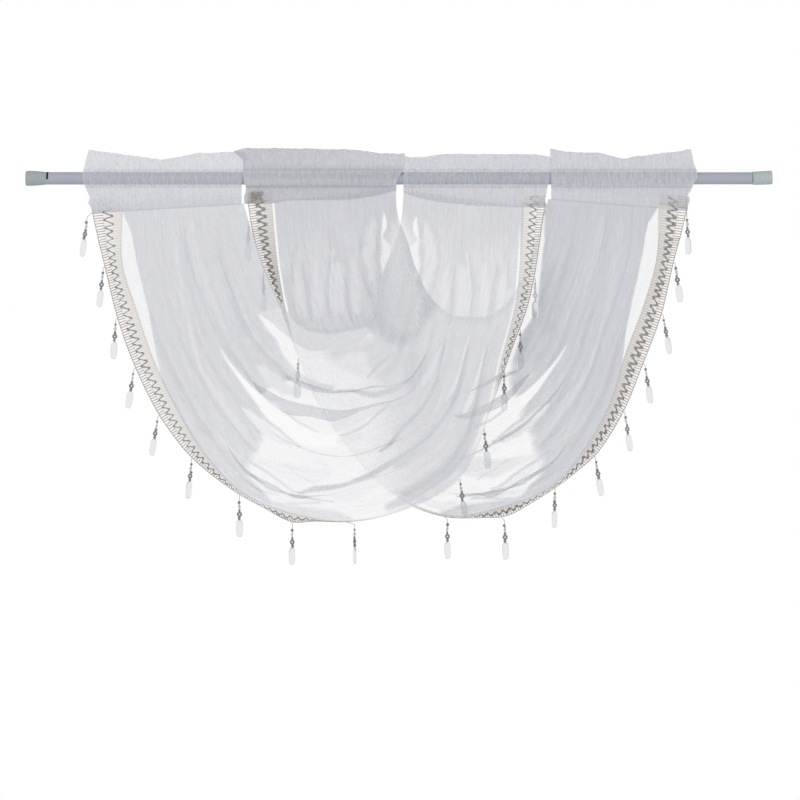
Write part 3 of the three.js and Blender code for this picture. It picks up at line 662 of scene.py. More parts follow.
rearValance = {
    "name": "valance_2", "flatArea": 0.255, "depth": 22, "hemSettle": (160, 240),
    "sections": [
        (592, -16, 391, -38, 357, -42), (595, -58, 401, -144, 381, -147), (610, -99, 416, -224, 410, -224),
        (624, -144, 436, -288, 431, -297), (647, -190, 470, -368, 468, -380), (679, -219, 575, -499, 567, -507),
        (714, -224, 672, -544, 672, -549), (740, -222, 757, -533, 764, -549), (759, -212, 846, -495, 853, -504),
        (773, -198, 898, -435, 914, -447), (786, -177, 939, -361, 959, -373), (799, -147, 962, -286, 990, -296),
        (815, -107, 991, -207, 1019, -217), (826, -67, 1012, -128, 1038, -134), (836, -33, 1015, -44, 1058, -51)],
    "ridges": [(0.09, 0.1, 0.11, 10, 0.05), (0.24, 0.27, 0.25, 16, 0.055), (0.4, 0.43, 0.42, 18, 0.06),
               (0.56, 0.58, 0.6, 15, 0.06), (0.71, 0.72, 0.74, 13, 0.05), (0.86, 0.86, 0.88, 14, 0.05)],
    "laps": [
        [(0.4, 0.385, 0), (0.439, 0.37, 2), (0.464, 0.348, 6), (0.511, 0.315, 6), (0.57, 0.332, 3), (0.66, 0.36, 0)],
        [(0.4, 0.49, 0), (0.43, 0.487, 4), (0.473, 0.452, 13), (0.5, 0.436, 17), (0.521, 0.427, 20),
         (0.545, 0.41, 17), (0.572, 0.395, 13), (0.6, 0.392, 6), (0.63, 0.4, 1), (0.72, 0.44, 0)],
        [(0.36, 0.7, 0), (0.4, 0.705, 2), (0.444, 0.69, 4), (0.491, 0.655, 4), (0.528, 0.62, 4), (0.581, 0.58, 4),
         (0.656, 0.6, 3), (0.738, 0.575, 0)],
        [(0.47, 0.91, 0), (0.494, 0.9, 3), (0.536, 0.867, 5), (0.576, 0.87, 5), (0.616, 0.857, 3), (0.7, 0.82, 0)],
        [(0.36, 0.87, 0), (0.391, 0.845, 1), (0.43, 0.862, 2.5), (0.47, 0.872, 3), (0.495, 0.91, 2.5),
         (0.532, 0.94, 2), (0.556, 0.945, 2), (0.584, 0.935, 2), (0.66, 0.9, 0)],
    ],
    "legs": (4.2, 0.6, 6.4), "seamDense": (0.5, 0.3),
    # the left leg ends at a lower edge here, as (X, Z, how soft)
    "leftFloor": [(395, -186, 3), (408, -202, 3), (434, -234, 3), (455, -245, 3), (480, -249, 3), (500, -247, 3),
                  (524, -242, 3), (545, -238, 4), (560, -250, 20), (600, -266, 24), (625, -252, 22), (645, -226, 18),
                  (662, -200, 14), (680, -185, 10), (760, -185, 10)],
    "rightEdge": [(-30, 790, 10), (-100, 810, 10), (-200, 808, 10), (-250, 793, 10), (-290, 780, 9), (-330, 777, 10),
                  (-347, 785, 12), (-360, 794, 20), (-385, 798, 20), (-410, 812, 16), (-435, 818, 16),
                  (-460, 826, 16), (-480, 824, 14), (-495, 812, 12), (-515, 790, 10), (-545, 763, 10)],
    "pleats": (legPleats, mirrored(bodyPleats, "body") + mirrored(crescentPleats, "crescent")
               + mirrored(foldPleats, "body") + behindBraid),
    "wedge": [(0.74, 1.02), (0.79, 0.965), (0.82, 0.915), (0.86, 0.88), (0.908, 0.862), (0.955, 0.87),
              (0.975, 0.895), (0.99, 0.95), (1.0, 0.985)],
    "neckHem": [(0.0, 0.03), (1.0, 0.03)],
    "neckLayers": 1.2, "brightHem": (-0.04, 0.2), "braidWeight": (1.15, 1.75), "tuckedOut": (1, 1), "knots": 2,
    "braidShown": [(0, 1.03, 1), (0.02, 1.12, 1), (0.04, 1.15, 1), (0.06, 1.06, 1), (0.1, 0.9, 1), (0.14, 0.5, 0.75),
                   (0.16, 0.35, 0.45), (0.19, 0.2, 0.1), (0.23, 0.2, 0.03), (0.385, 0.2, 0.03), (0.395, 0.2, 0.6),
                   (0.43, 0.25, 0.7), (0.457, 0.3, 0.7), (0.479, 0.45, 0.9), (0.5, 0.75, 1), (0.518, 0.7, 1),
                   (0.536, 0.5, 0.7), (0.57, 0.35, 0.7), (0.607, 0.6, 0.85), (0.643, 0.9, 1), (0.71, 1, 1),
                   (1, 1, 1)],
    "pendants": [0.25, 1, 3, 6, 7, 8, 9, 10, 11, 12, 13, 14], "faint": [0.25, 1, 3],
    "straight": [0.25, 1, 3, 6, 7, 8, 14], "moved": {6: (3, -4), 7: (5, -4), 14: (-3, -7)}, "edgeOn": [6, 7],
}
# drops are ranges in mm below the seam; spans and soft edges are shares of along or across
clothSizes = {
    "flat": (0.75, 0.5), "steps": 280, "rows": 240, "tableSteps": 600, "tableSmooth": 25, "neckSettle": 110,
    "calmEdge": 0.05, "ridgeFade": 0.32, "ridgeMean": 6, "droop": 0.5,
    "turnWidth": 6.5, "turnBow": 0.75, "bowLap": 4, "turnSpread": 1.6,
    "lapDepth": 4.5, "fullLap": 5, "lapLayers": 1.25, "lapSpread": 1.5, "lapInDense": 0.7,
    "lowDensity": 0.82, "lowDrop": (150, 420), "seamDrop": (5, 90), "leftSpan": (0.51, 0.6), "rightSpan": (0.4, 0.5),
    "pleatDepth": 1.6, "gathers": [(9, 0.3), (13, 0.3), (17, 0.35), (23, 0.3), (31, 0.2)], "gatherBend": 5,
    "gatherDepth": 1.5, "gatherDrop": 260, "gatherEarly": 0.25, "gatherLeft": 0.2, "gatherStart": 14,
    "wedgeLayers": 0.95, "wedgeSoft": 0.006, "noWedge": 1.1, "hemLayers": 0.4, "hemStrip": (8, 5), "hemFade": 0.04,
    "neckSpan": (0.2, 0.74), "neckSoft": 0.005,
}


def sectionCurve(rows, along):
    # centripetal Catmull-Rom curve through the rows, with straight run-outs, as the solids use
    rows = np.asarray(rows, float)
    ends = np.vstack([2 * rows[0] - rows[1], rows, 2 * rows[-1] - rows[-2]])
    place = np.clip(np.asarray(along, float), 0, 1) * (len(rows) - 1)
    first = np.minimum(place.astype(int), len(rows) - 2)
    w = (place - first)[..., None]
    a, b, c, d = (ends[first + k] for k in range(4))
    span = lambda p, q: (np.sum((p - q) ** 2, axis=-1) ** 0.25)[..., None]
    d0, d1, d2 = span(b, a), span(c, b), span(d, c)
    t1 = ((b - a) / d0 - (c - a) / (d0 + d1) + (c - b) / d1) * d1
    t2 = ((c - b) / d1 - (d - b) / (d1 + d2) + (d - c) / d2) * d1
    return b + t1 * w + (-3 * b + 3 * c - 2 * t1 - t2) * w ** 2 + (2 * b - 2 * c + t1 + t2) * w ** 3


def follow(rows, along, column):
    # a table's column, read smoothly between its rows
    fine = np.linspace(0, 1, clothSizes["tableSteps"])
    kernel = np.hanning(clothSizes["tableSmooth"])
    padded = np.pad(readTable(rows, fine, column), len(kernel) // 2, mode="edge")
    return np.interp(along, fine, np.convolve(padded, kernel / kernel.sum(), mode="valid"))


def pleatCover(flat, soft, line):
    # 1 inside the pleat, 0 outside, with a soft edge
    line = np.asarray(line, float)
    outside = np.full(flat.shape[:-1], np.inf)
    for start, end in zip(line, line[1:]):
        way = end[:2] - start[:2]
        share = np.clip(((flat - start[:2]) @ way) / (way @ way), 0, 1)
        gap = np.linalg.norm(flat - start[:2] - share[..., None] * way, axis=-1)
        outside = np.minimum(outside, gap - start[2] - share * (end[2] - start[2]))
    return 1 - smoothStep(outside, -soft, soft)


def clothSurface(valance, along, across):
    sizes = clothSizes
    sections = np.asarray(valance["sections"], float)
    neck = sectionCurve(sections[:, 0:2], along)
    hem = sectionCurve(sections[:, 2:4], along)
    flat = neck + (hem - neck) * across[..., None]
    reach = np.linalg.norm(hem - neck, axis=-1)
    way = (hem - neck) / reach[..., None]
    edge = np.minimum(along, 1 - along)
    # the cloth leaves the rod's plane as it falls from its seam
    ends = np.where((along < 0.5)[..., None], sections[0], sections[-1])
    drop = ends[..., 1] + (ends[..., 3] - ends[..., 1]) * across - flat[..., 1]
    settle = sizes["neckSettle"] + (np.where(along < 0.5, *valance["hemSettle"]) - sizes["neckSettle"]) * across
    depth = valance["depth"] * smoothStep(drop, 0, settle)
    ridge = -sizes["ridgeMean"] * np.ones_like(along)
    for left, low, right, height, spread in valance["ridges"]:
        side = np.where(along < 0.5, left, right)
        place = side + (low - side) * smoothStep(edge, 0, 0.5)
        ridge = ridge + height * np.exp(-((across - place) / spread) ** 2)
    ridge = ridge * smoothStep(edge, 0, sizes["ridgeFade"])
    x, y, z = flat[..., 0], depth - ridge, flat[..., 1] - sizes["droop"] * ridge
    calm = smoothStep(across, 0.0, sizes["calmEdge"]) * smoothStep(1 - across, 0.0, sizes["calmEdge"])
    # folds that lie over themselves
    turns = np.zeros_like(along)
    for rows in valance["laps"]:
        lap = follow(rows, along, 2)
        folded = smoothStep(lap, 0, sizes["fullLap"])
        step = (across - follow(rows, along, 1)) * reach / sizes["turnWidth"]
        swing = step * np.exp((1 - step ** 2) / 2)
        slide = (0.5 * lap + sizes["turnBow"] * sizes["turnWidth"] * smoothStep(lap, 0, sizes["bowLap"])) * calm
        wide = step / sizes["turnSpread"]
        x = x - way[..., 0] * slide * swing
        z = z - way[..., 1] * slide * swing
        y = y + sizes["lapDepth"] * folded * wide * np.exp((1 - wide ** 2) / 2) * calm
        turns = np.maximum(turns, np.exp(-(step / sizes["lapSpread"]) ** 2) * folded)
    # how many layers of voile lie here
    left, low, right = valance["legs"]
    fall = 1 - (1 - sizes["lowDensity"]) * smoothStep(drop, *sizes["lowDrop"])
    fall = fall * (1 + np.where(along < 0.5, *valance["seamDense"]) * (1 - smoothStep(drop, *sizes["seamDrop"])))
    past = lambda rows, value, at: smoothStep((value - readTable(rows, at, 1)) / readTable(rows, at, 2), -1, 1)
    if "leftFloor" in valance:
        inLeft = past(valance["leftFloor"], z, x)
    else:
        inLeft = 1 - past(valance["leftEdge"], x, z)
    inLeft = inLeft * (1 - smoothStep(along, *sizes["leftSpan"]))
    inRight = past(valance["rightEdge"], x, z) * smoothStep(along, *sizes["rightSpan"])
    layers = np.maximum(np.maximum(inLeft * left, inRight * right) * fall, low)
    shown = np.where(layers > sizes["lapLayers"], sizes["lapInDense"], 1)
    layers = layers + (sizes["lapLayers"] - layers) * turns * shown
    # pleats: thin ones stand a little forward, bunched ones lie back
    place = np.stack([x, z], axis=-1)
    for pleats, density in zip(valance["pleats"], (left, right)):
        for share, soft, line in pleats:
            cover = pleatCover(place, soft, line)
            layers = layers + (share * density - layers) * cover
            y = y - sizes["pleatDepth"] * np.sign(1 - share) * cover * calm
    # gathers run down from the headings and die out in the swag
    waves = np.zeros_like(along)
    for count, height in sizes["gathers"]:
        phase = 2 * math.pi * draws.random()
        bend = sizes["gatherBend"] * edge * math.sin(3 * phase)
        waves = waves + height * np.sin(2 * math.pi * count * across + phase + bend)
    fade = 1 - smoothStep(drop, sizes["gatherDrop"] * sizes["gatherEarly"], sizes["gatherDrop"])
    fade = sizes["gatherLeft"] + (1 - sizes["gatherLeft"]) * fade
    y = y + sizes["gatherDepth"] * waves * fade * smoothStep(drop, 0, sizes["gatherStart"]) * calm
    # a thin strip beside the braid, the hem's bright edge and the turned neck
    wedge = np.interp(along, *zip(*valance["wedge"]), left=sizes["noWedge"], right=sizes["noWedge"])
    inWedge = smoothStep(across, wedge - sizes["wedgeSoft"], wedge + sizes["wedgeSoft"])
    layers = layers + (sizes["wedgeLayers"] - layers) * inWedge
    hemFrom, hemTo = valance["brightHem"]
    strip = smoothStep(across * reach, *(reach - edge for edge in sizes["hemStrip"]))
    strip = strip * smoothStep(along, hemFrom, hemFrom + sizes["hemFade"])
    layers = layers + (sizes["hemLayers"] - layers) * strip * (1 - smoothStep(along, hemTo - sizes["hemFade"], hemTo))
    band = readTable(valance["neckHem"], along)
    turned = 1 - smoothStep(across, band - sizes["neckSoft"], band + sizes["neckSoft"])
    turned = turned * (along > sizes["neckSpan"][0]) * (along < sizes["neckSpan"][1])
    layers = layers + np.maximum(valance["neckLayers"] - layers, 0) * turned
    return np.stack([x, y, z], axis=-1), layers, reach


def makeCloth(valance):
    steps, rows = clothSizes["steps"], clothSizes["rows"]
    along, across = np.meshgrid(np.linspace(0, 1, steps + 1), np.linspace(0, 1, rows + 1), indexing="ij")
    points, layers, reach = clothSurface(valance, along, across)
    lengths = np.linalg.norm(np.diff(points, axis=0), axis=-1).mean(axis=1)
    length = np.concatenate([[0], np.cumsum(lengths)])[:, None] + 0 * across
    uv = np.stack([length, across * reach.mean()], axis=-1) * mm
    faces = gridFaces(steps + 1, rows + 1)
    piece = meshPiece(valance["name"] + "_voile", [{
        "points": points.reshape(-1, 3), "faces": faces, "uv": uv.reshape(-1, 2), "layers": layers.ravel()}], [voile])
    keep(piece, "voile", valance["name"] + "_cloth")
    print(piece.name, "area", round(surfaceArea(points, faces), 4), "m2", len(faces), "faces")
    return piece, points[:, -1]


# Braid: a cream net, densest along the hem, a zigzag couched on it, a ladder of threads outside it and an edge cord.
# netCover: share of the light that the net stops across its width. tuckedRows: heights of the ends' rows above the
# seam. Pairs of count and spread say how often a thread varies along the braid, and by how much.
braidSizes = {
    "width": 36, "sewn": 3, "steps": 900, "tuckedRows": (20, 14, 9, 6, 4, 2.5, 1), "tuckedForward": 5,
    "tuckedTurn": 4, "tuckedFade": 0.82, "fadeRange": (-2, 10), "tuckedThin": 0.6, "thinRange": (0, 8),
    "netCover": [(0, 0.84), (0.3, 0.82), (0.42, 0.64), (0.7, 0.48), (0.78, 0.24), (1, 0.18)],
    "netGrid": (700, 13), "netLift": 0.3, "netCrown": 0.5,
    "zigzagMiddle": 0.5, "zigzagSwing": 0.16, "zigzagPitch": 12.2, "zigzagSteps": 14, "zigzagRound": 0.5,
    "zigzagEnd": 3, "wander": (90, 1.2), "swingSpread": (160, 0.12), "thickSpread": (300, 0.15),
    "zigzagThin": 0.72, "zigzagBlob": 0.5, "zigzagLift": 0.6, "flatLift": 0.8, "flatRange": (0.15, 0.4),
    "turnedThin": 0.3,
    "knotMiddle": 0.66, "knotSwing": 0.24, "knotThread": 0.45, "knotLift": (1.2, 0.5), "knotSteps": 60, "knotEnd": 4,
    "knotRate": (1.1, 0.3), "knotPhase": 2.1, "sides": 5, "zigzagSides": 6,
    "rungPitch": 4.2, "rungThread": 0.7, "rungSlant": (0.6, 0.4), "rungBend": (0, 0.4, 1.0),
    "rungAcross": (0.66, 0.8, 1.0), "rungLift": (0.7, 0.45, 0.2),
    "edgeThread": 0.6, "edgeDip": 0.014, "edgeLift": 0.2,
}


def tubeAlong(path, radius, sides, facing=(0.0, -1.0, 0.0)):
    # a round thread along a path: points, faces and a map of length and turn
    path = np.asarray(path, float)
    way = np.gradient(path, axis=0)
    way /= np.linalg.norm(way, axis=1, keepdims=True)
    side = np.cross(way, facing)
    side /= np.maximum(np.linalg.norm(side, axis=1, keepdims=True), 1e-9)
    up = np.cross(side, way)
    turns = 2 * math.pi * np.arange(sides) / sides
    radius = np.broadcast_to(np.asarray(radius, float), (len(path),))[:, None, None]
    ring = np.cos(turns)[None, :, None] * side[:, None] + np.sin(turns)[None, :, None] * up[:, None]
    length = np.concatenate([[0], np.cumsum(np.linalg.norm(np.diff(path, axis=0), axis=1))])
    uv = np.stack(np.broadcast_arrays(length[:, None], np.arange(sides)[None] * 1.0), axis=-1) * mm
    return (path[:, None] + radius * ring).reshape(-1, 3), gridFaces(len(path), sides, True), uv.reshape(-1, 2)


def braidStrip(valance, hemAt):
    # inner edge on the hem, outer edge on its own curve, turned back where it shows narrow
    sections = np.asarray(valance["sections"], float)
    along = np.linspace(0, 1, braidSizes["steps"])
    place = np.linspace(0, 1, len(hemAt))
    hem = np.stack([np.interp(along, place, hemAt[:, k]) for k in range(3)], axis=1)
    edge = sectionCurve(sections[:, 4:6], along)
    outward = np.stack([edge[:, 0] - hem[:, 0], 0 * along, edge[:, 1] - hem[:, 2]], axis=1)
    outward /= np.linalg.norm(outward, axis=1, keepdims=True)
    inner = hem - outward * braidSizes["sewn"]
    shown = follow(valance["braidShown"], along, 1)
    reach = braidSizes["sewn"] + shown * np.hypot(edge[:, 0] - hem[:, 0], edge[:, 1] - hem[:, 2])
    outer = inner + outward * reach[:, None]
    outer[:, 1] += np.sqrt(np.maximum(0, braidSizes["width"] ** 2 - reach ** 2))
    middle = (inner + outer) / 2
    length = np.concatenate([[0], np.cumsum(np.linalg.norm(np.diff(middle, axis=0), axis=1))])
    normal = np.cross(outer - inner, np.gradient(middle, axis=0))  # to the front
    normal /= np.linalg.norm(normal, axis=1, keepdims=True)
    core = {"along": along, "coreLength": length, "shown": np.minimum(1, reach / braidSizes["width"])}
    core["full"] = follow(valance["braidShown"], along, 2)
    up = np.array(braidSizes["tuckedRows"])  # both ends run up into their heading
    out = -braidSizes["tuckedForward"] * smoothStep(up, 0, braidSizes["tuckedTurn"])
    first, last = (np.stack([0 * up, out * share, up], axis=1) for share in valance["tuckedOut"])
    core["inner"] = np.vstack([inner[0] + first, inner, inner[-1] + last[::-1]])
    core["outer"] = np.vstack([outer[0] + first, outer, outer[-1] + last[::-1]])
    core["normal"] = np.vstack([np.tile(normal[0], (len(up), 1)), normal, np.tile(normal[-1], (len(up), 1))])
    core["length"] = np.concatenate([-up, length, length[-1] + up[::-1]])
    return core


def onStrip(strip, at, share, lift):
    read = lambda rows: np.stack([np.interp(at, strip["length"], rows[:, k]) for k in range(3)], axis=-1)
    inner, outer, normal = read(strip["inner"]), read(strip["outer"]), read(strip["normal"])
    return inner + (outer - inner) * np.asarray(share)[..., None] + normal * np.asarray(lift)[..., None], normal


def makeBraid(valance, strip):
    sizes = braidSizes
    tape, zigzag, ladder = range(3)  # material slots
    netShare, zigzagThick = valance["braidWeight"]
    parts = []
    first, last = strip["length"][0], strip["length"][-1]
    inHeading = lambda at: np.maximum(-at, at - strip["coreLength"][-1])  # how far past the seam, at either end
    full = lambda at: np.interp(at, strip["coreLength"], strip["full"])
    thinned = lambda at: 1 - sizes["tuckedThin"] * smoothStep(inHeading(at), *sizes["thinRange"])
    columns, rows = sizes["netGrid"]
    at, share = np.meshgrid(np.linspace(first, last, columns), np.linspace(0, 1, rows), indexing="ij")
    points, _ = onStrip(strip, at, share, sizes["netLift"] + sizes["netCrown"] * np.sin(math.pi * share))
    cover = netShare * readTable(sizes["netCover"], share) * full(at)
    cover = np.minimum(1, cover * (1 - sizes["tuckedFade"] * smoothStep(inHeading(at), *sizes["fadeRange"])))
    parts.append({"points": points.reshape(-1, 3), "faces": gridFaces(*at.shape), "layers": cover.ravel(),
                  "material": tape, "uv": np.stack([at, share * sizes["width"]], axis=-1).reshape(-1, 2) * mm})

    def thread(at, share, lift, radius, sides, material):
        path, normal = onStrip(strip, at, share, lift)
        points, faces, uv = tubeAlong(path, radius, sides, normal)
        parts.append({"points": points, "faces": faces, "uv": uv, "material": material})

    def uneven(at, count, spread):
        return np.interp(at, np.linspace(first, last, count), draws.normal(0, spread, count))

    # zigzag: uneven rounded loops, thickest at their turns, pulled tight where the braid turns back
    at = np.arange(first + sizes["zigzagEnd"], last - sizes["zigzagEnd"], sizes["zigzagPitch"] / sizes["zigzagSteps"])
    angle = 2 * math.pi * ((at + uneven(at, *sizes["wander"])) / sizes["zigzagPitch"])
    swing = sizes["zigzagSwing"] * (1 + uneven(at, *sizes["swingSpread"]))
    share = sizes["zigzagMiddle"] + swing * np.sin(angle + sizes["zigzagRound"] * np.sin(angle))
    flat = smoothStep(np.interp(at, strip["coreLength"], strip["shown"]), *sizes["flatRange"])
    thick = zigzagThick * (1 + uneven(at, *sizes["thickSpread"]))
    thick = thick * (sizes["zigzagThin"] + sizes["zigzagBlob"] * np.sin(angle) ** 2) * thinned(at)
    thick = thick * (sizes["turnedThin"] + (1 - sizes["turnedThin"]) * flat) * full(at)
    thread(at, share, sizes["zigzagLift"] + sizes["flatLift"] * flat, thick, sizes["zigzagSides"], zigzag)
    # loose loops where the left end shows at its heading
    for turn in range(valance["knots"]):
        rate, lift = (start + step * turn for start, step in (sizes["knotRate"], sizes["knotLift"]))
        at = np.linspace(first + 1, first + sizes["tuckedRows"][0] - sizes["knotEnd"], sizes["knotSteps"])
        share = sizes["knotMiddle"] + sizes["knotSwing"] * np.sin(at * rate + sizes["knotPhase"] * turn)
        thread(at, share, lift + 0 * at, sizes["knotThread"], sizes["sides"], zigzag)
    # rungs out to the edge cord, which dips in between them
    for start in np.arange(first + 1, last - 0.5, sizes["rungPitch"]):
        slant = draws.normal(*sizes["rungSlant"])
        thread(start + np.array(sizes["rungBend"]) * slant, sizes["rungAcross"], sizes["rungLift"],
               sizes["rungThread"] * full(start) * thinned(start), sizes["sides"], ladder)
    at = np.arange(first, last, sizes["rungPitch"] / 4)
    dip = sizes["edgeDip"] * (1 - np.cos(2 * math.pi * (at - first - 1) / sizes["rungPitch"]))
    thread(at, 1 - dip, sizes["edgeLift"] + 0 * at, sizes["edgeThread"] * full(at) * thinned(at), sizes["sides"],
           ladder)
    piece = meshPiece(valance["name"] + "_braid_trim", parts, [braidTape, zigzagThread, ladderThread])
    keep(piece, "bead_braid", valance["name"] + "_braid")
    print(piece.name, len(piece.data.polygons), "faces")
    return piece


# Bead pendants: seed beads on a thread, a ring bead and a flat clear drop.
# beads: distance from the braid, radius, and 0 for gunmetal or 1 for smoke glass.
# Then how far each pendant and bead strays: lean, tip and twist of the thread, size and place of a bead.
pendantSizes = {"rootAcross": (0.985, 0.5), "rootLift": 0.2, "lean": 0.15, "out": 3.5, "thread": 0.5, "sides": 5,
                "threadInDrop": 2,
                "beads": [(8.5, 2.4, 0), (11.9, 1.5, 1), (15.1, 2.3, 1), (18.3, 1.6, 1), (21.6, 2.4, 0),
                          (33.6, 2.5, 0)],
                "ringAt": 27.4, "ringRadius": 2.7, "ringThread": 1.6,
                "dropFrom": 35.5, "dropTo": 63.5, "dropWidth": 5.6, "dropDepth": 2.1,
                "leanSpread": 0.03, "tipSpread": 0.02, "twistSpread": 0.45, "edgeOnTwist": 1.0, "beadSpread": 0.08,
                "beadShift": 0.3}


def beadShape(radius, sides=8, rings=5):
    tilt = np.linspace(0, math.pi, rings)
    turn = 2 * math.pi * np.arange(sides) / sides
    points = np.stack([np.outer(np.sin(tilt), np.cos(turn)), np.outer(np.sin(tilt), np.sin(turn)),
                       np.outer(np.cos(tilt), np.ones(sides))], axis=-1) * radius
    return points.reshape(-1, 3), gridFaces(rings, sides, True)


def ringShape(radius, thread, sides=12, rings=6):
    # a ring that faces the front, closed on itself
    turn = 2 * math.pi * np.arange(sides + 1) / sides
    tilt = 2 * math.pi * np.arange(rings) / rings
    reach = radius + thread * np.cos(tilt)
    points = np.stack([np.outer(np.cos(turn[:-1]), reach), np.outer(np.ones(sides), thread * np.sin(tilt)),
                       np.outer(np.sin(turn[:-1]), reach)], axis=-1)
    return points.reshape(-1, 3), gridFaces(sides + 1, rings, True) % (sides * rings)


def dropShape(sides=16):
    # shares of its length, width and depth from the top down
    along = np.array([0, 0.03, 0.08, 0.16, 0.3, 0.5, 0.75, 0.88, 0.95, 0.985, 1.0])
    width = np.array([0.05, 0.4, 0.66, 0.86, 0.97, 1.0, 0.97, 0.86, 0.66, 0.4, 0.04])
    deep = np.array([0.05, 0.5, 0.75, 0.9, 1.0, 1.0, 1.0, 0.95, 0.75, 0.42, 0.04])
    turn = 2 * math.pi * np.arange(sides) / sides
    z = (pendantSizes["dropFrom"] - pendantSizes["dropTo"]) * along
    points = np.stack([np.outer(width, np.cos(turn)) * pendantSizes["dropWidth"],
                       np.outer(deep, np.sin(turn)) * pendantSizes["dropDepth"],
                       np.outer(z, np.ones(sides))], axis=-1)
    return points.reshape(-1, 3), gridFaces(len(along), sides, True)


def makePendants(valance, strip):
    sizes = pendantSizes
    gunmetal, smoke, clear, cord = range(4)  # material slots
    parts = []
    lastSection = len(valance["sections"]) - 1
    for place in valance["pendants"]:
        at = np.interp(place / lastSection, strip["along"], strip["coreLength"])
        (edge, inside), _ = onStrip(strip, np.array([at, at]), sizes["rootAcross"], [sizes["rootLift"]] * 2)
        outward = (edge - inside) / np.linalg.norm(edge - inside)
        aside, lower = valance["moved"].get(place, (0, 0))
        root = edge + outward * sizes["out"] + np.array([aside, 0, lower])
        faint = place in valance["faint"]
        lean = (-sizes["lean"] if place / lastSection < 0.5 else sizes["lean"]) * (place not in valance["straight"])
        lean = lean + draws.normal(0, sizes["leanSpread"])
        way = np.array([lean, draws.normal(0, sizes["tipSpread"]), -1.0])
        way /= np.linalg.norm(way)
        turn = draws.normal(0, sizes["twistSpread"]) + sizes["edgeOnTwist"] * (place in valance["edgeOn"])
        side = np.array([math.cos(turn), math.sin(turn), 0])
        side = side - way * side.dot(way)
        side /= np.linalg.norm(side)
        axes = np.stack([side, np.cross(-way, side), -way])

        def hang(shape, faces, along, material):
            parts.append({"points": shape @ axes + root + way * along, "faces": faces, "material": material})

        for along, radius, kind in sizes["beads"]:
            shape, faces = beadShape(radius * (1 + draws.normal(0, sizes["beadSpread"])))
            shift = np.array([draws.normal(0, sizes["beadShift"]), draws.normal(0, sizes["beadShift"]), 0])
            hang(shape + shift, faces, along, smoke if faint else kind)
        hang(*ringShape(sizes["ringRadius"], sizes["ringThread"]), sizes["ringAt"], smoke if faint else gunmetal)
        hang(*dropShape(), sizes["dropFrom"], clear)
        for start, end in ((0, sizes["ringAt"] - sizes["ringRadius"]),
                           (sizes["ringAt"] + sizes["ringRadius"], sizes["dropFrom"] + sizes["threadInDrop"])):
            line = root + way * np.linspace(start, end, 3)[:, None]
            line = np.vstack([[edge], line]) if start == 0 else line
            points, faces, uv = tubeAlong(line, sizes["thread"], sizes["sides"])
            parts.append({"points": points, "faces": faces, "uv": uv, "material": cord})
    piece = meshPiece(valance["name"] + "_bead_pendants", parts, [gunmetalGlass, smokeGlass, acrylic, ladderThread])
    keep(piece, "bead_braid")
    print(piece.name, len(piece.data.polygons), "faces")
    return piece


# Gathered rod-pocket headings. leftEnd and rightEnd: how far each end draws in at a height, as (Z, inset);
# seam: its lower edge as (X, Z); crest: the frill's top as (share of the width, Z);
# layers: how many lie in front and again behind, as (Z, layers).
# Depths are from the rod's axis.
headingSizes = {"flatHeight": 0.19, "fullness": 1.3, "columns": 1.2,
                "seamBand": 14, "bandShare": 1.3, "bandSoft": 1.5, "seamLap": 2.5, "seamDepth": (1.0, 1.8, 0.3),
                "seamTurn": 0.12,
                "pocketTop": 14.2, "pocketRise": 14, "pocketDepth": 12.4, "pocketRound": 0.6, "pocketArc": 75,
                "frillDepth": 2.4, "frillTaper": 1.0, "crestRise": 0.4, "crestDepth": 0.6, "crestSpread": (60, 0.35),
                "frillWave": 4.5, "waveLength": 47, "gathers": (5.1, 7.3, 10.7, 16.0), "gatherBend": (14, 1.2),
                "frillGather": 1.3, "pocketGather": 0.7, "gatherMean": 12, "calmCrest": (-2, 5), "calmSeam": (-1, 7),
                "seamRows": 11, "pocketRows": 15, "frillRows": 13}
